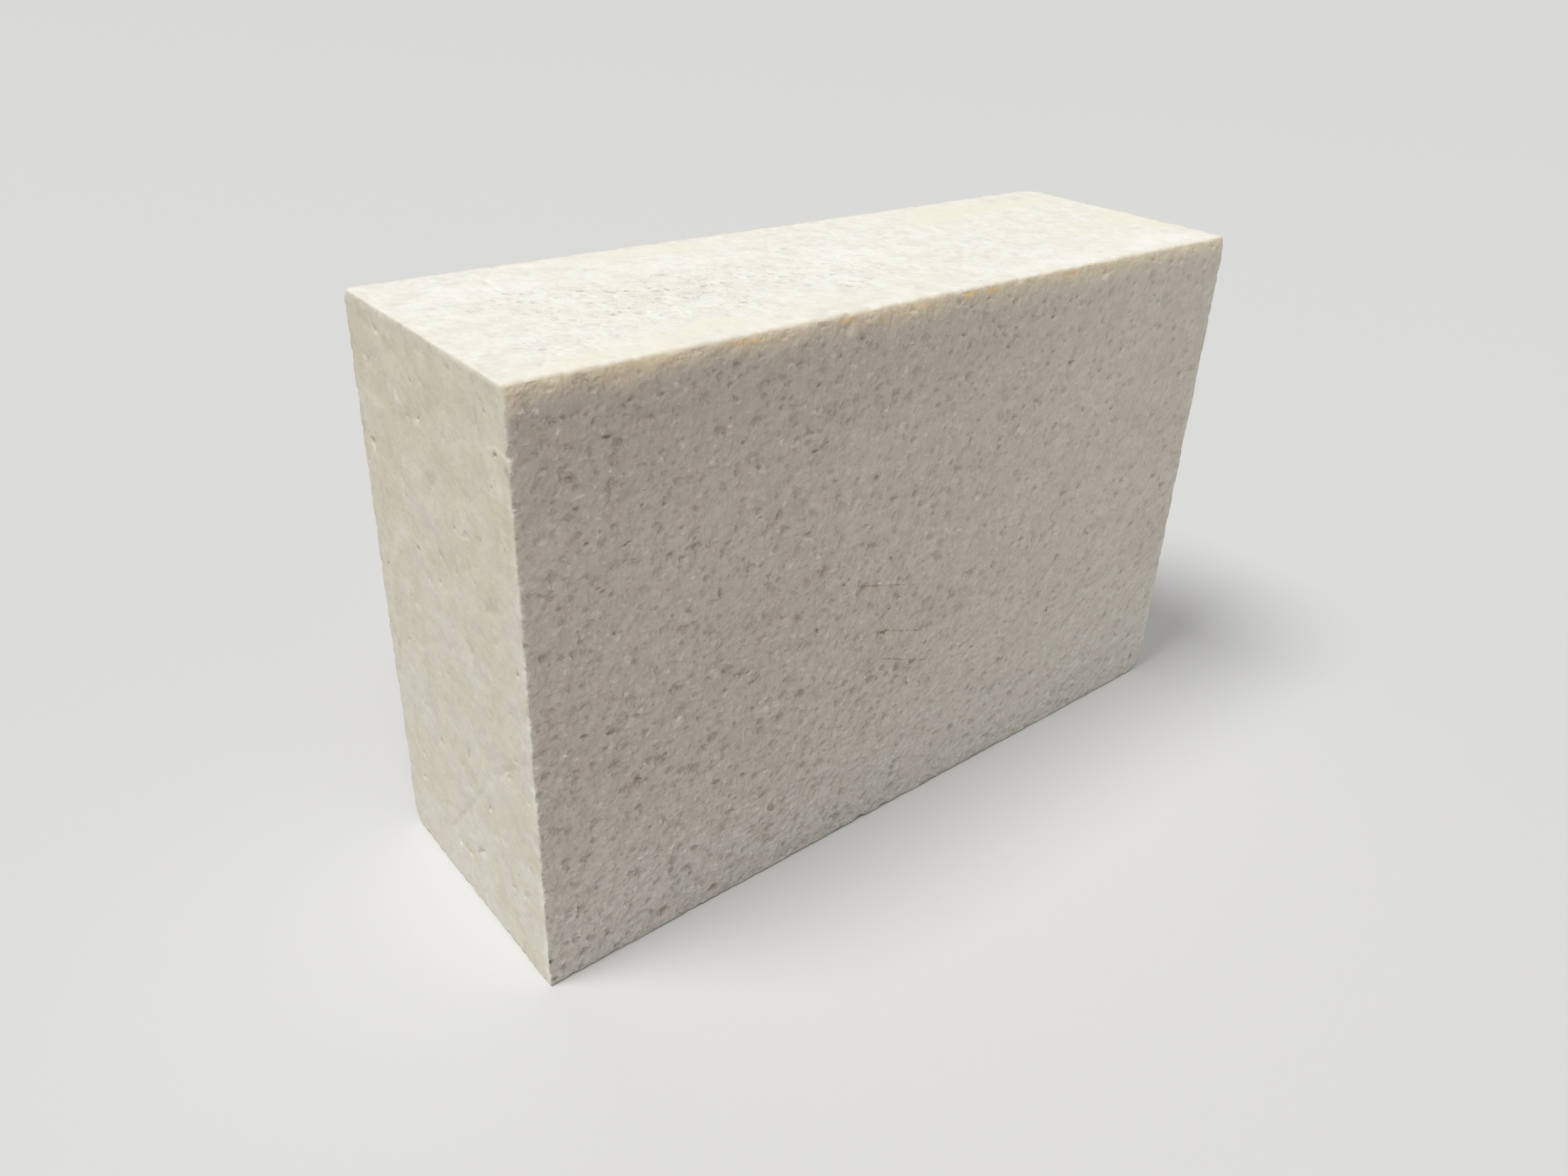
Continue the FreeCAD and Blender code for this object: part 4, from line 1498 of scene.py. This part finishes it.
def clay_with_painted_light_and_shade(skin):
    """The clay of each face: broad ones darker and pinker, partly as painted shade, pinker to the left and at
    the top, and lighter at the foot as painted light; ends whiter at the foot.
    """
    left = 1 - skin.right
    left_share = left * (1 - BLOTCH_SHARE) + skin.tone(*BLOTCH_TONE) * BLOTCH_SHARE
    broad_clay_with_painted_light_and_shade = left_share.mix(BROAD_RIGHT, BROAD_LEFT)
    broad_clay_with_painted_light_and_shade = (skin.tone(*PINK_TONE) * PINK_SHARE).mix(broad_clay_with_painted_light_and_shade, BROAD_PINK)
    broad_clay_with_painted_light_and_shade = (skin.up.ramp(*HIGH_RAMP) * left * HIGH_SHARE).mix(broad_clay_with_painted_light_and_shade, BROAD_HIGH)
    # Painted light: the broad face is lighter and bluer towards its foot, lifting the shade near the floor.
    broad_clay_with_painted_light_and_shade = (skin.up.ramp(*LOW_RAMP) * LOW_SHARE).mix(broad_clay_with_painted_light_and_shade, BROAD_FOOT_PAINTED_LIGHT)
    patch = skin.tone(*PATCH_TONE)
    end_whiteness = patch * PATCH_SHARE + (1 - skin.high) * (1 - PATCH_SHARE)
    end_clay = end_whiteness.mix(END_COLOUR, END_WHITE)
    bed_clay = patch.mix(BED_CREAM, BED_COLOUR)
    # Broad faces darker, partly painted shade; beds whiter, partly painted light.
    return skin.broad.mix(skin.bed.mix(end_clay, bed_clay), broad_clay_with_painted_light_and_shade)


def add_dirt_and_shade(skin, clay, broad_dirt, smooth_dirt, grains):
    """Dirt in the specks, mottles and hollows, the hollow layer also carrying painted shade along the crease
    and in the nick, and pale grains between.
    """
    broad_dirt = broad_dirt + skin.mottles(BROAD_MOTTLES)
    dirt = broad_dirt * skin.rough + smooth_dirt * skin.dented + skin.mottles(SMOOTH_MOTTLES) * skin.smooth
    dirt_and_shade_colour = skin.tone(*RED_TONE).mix(HOLLOW_GREY, HOLLOW_RED)
    clay = dirt.mix(clay, dirt_and_shade_colour)
    # The hollow layer holds dirt in the pits and painted shade in the crease and the nick.
    clay = (skin.attribute("hollow") * skin.unfaded * DIRT_AND_SHADE_STRENGTH).mix(clay, dirt_and_shade_colour)
    return (grains * skin.rough).mix(clay, CHALK_COLOUR)


def stained(skin, clay):
    """Tints and stains over the clay, the thin rusty scratches among them, and painted light: the glow on the
    top arris of the broad face and the highlight on the nick's curl.
    """
    off = skin.attribute("scratch_off") + skin.swing(*WANDER_NOISE) * SCRATCH_WANDER
    scratch_line = off.size().ramp(SCRATCH_HALF_WIDTH, 0)
    stains = [
        (skin.attribute("cream"), CREAM_COLOUR),
        # Partly painted light: the glow on the broad face's top arris and on the top's strip beside it.
        (skin.warm, WARM_COLOUR),
        (skin.attribute("amber"), AMBER_COLOUR),
        # The chalk layer also holds the painted highlight along the nick's curl.
        (skin.attribute("chalk") * CHALK_STRENGTH, CHALK_COLOUR),
        (skin.attribute("rust"), RUST_COLOUR),
        (skin.attribute("scratch") * scratch_line * skin.tone(*BREAK_TONE), RUST_COLOUR),
        (skin.attribute("soot"), SOOT_COLOUR),
    ]
    for mask, colour in stains:
        clay = mask.mix(clay, colour)
    return clay


def fine_relief(skin, broad_depth, smooth_depth, grain_height):
    """Swells, specks and grains too fine for the mesh, as a bump on its normal."""
    swell = sum(skin.swing(*noise) * high for *noise, high in SWELLS)
    swell = swell * (SWELL_SHARE[0] + (skin.rough + skin.dented * SWELL_DENTED) * SWELL_SHARE[1])
    height = swell + (grain_height - broad_depth) * skin.rough - smooth_depth * skin.dented
    sockets = {"Strength": BUMP_STRENGTH, "Distance": BUMP_DISTANCE, "Height": height * MM}
    return Wire.node(skin.tree, "ShaderNodeBump", {}, sockets)


def make_fired_clay():
    """The brick's one finish: colour, roughness and fine relief."""
    material = bpy.data.materials.new("fired_refractory_clay")
    material.use_nodes = True
    tree = material.node_tree
    skin = Skin(tree)
    broad_dirt, broad_depth = skin.specks(BROAD_SPECKS)
    grains, grain_height = skin.specks(BROAD_GRAINS)
    smooth_dirt, smooth_depth = skin.specks(SMOOTH_SPECKS)
    clay = add_dirt_and_shade(skin, clay_with_painted_light_and_shade(skin), broad_dirt, smooth_dirt, grains)
    looks = {
        "Base Color": stained(skin, clay),
        "Roughness": CLAY_ROUGHNESS + skin.tone(*FINE_TONE) * ROUGHNESS_SPREAD,
        "Normal": fine_relief(skin, broad_depth, smooth_depth, grain_height),
    }
    for socket, wire in looks.items():
        tree.links.new(wire.socket, tree.nodes["Principled BSDF"].inputs[socket])
    return material


fired_clay = make_fired_clay()
brick_mesh.materials.clear()
brick_mesh.materials.append(fired_clay)
print("Finish has", len(fired_clay.node_tree.nodes), "nodes")

# %% [markdown]
# ## In place of the solid
#
# The dressed brick takes the place of the plain solid in the pictures, while the solid stays in the
# simulation. There are no joints, so it rides on the one body.

# %% Stand in for the solid
brick = bpy.data.objects.new("firebrick_worn", brick_mesh)
bpy.context.scene.collection.objects.link(brick)
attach(brick, "root")
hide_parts("firebrick")
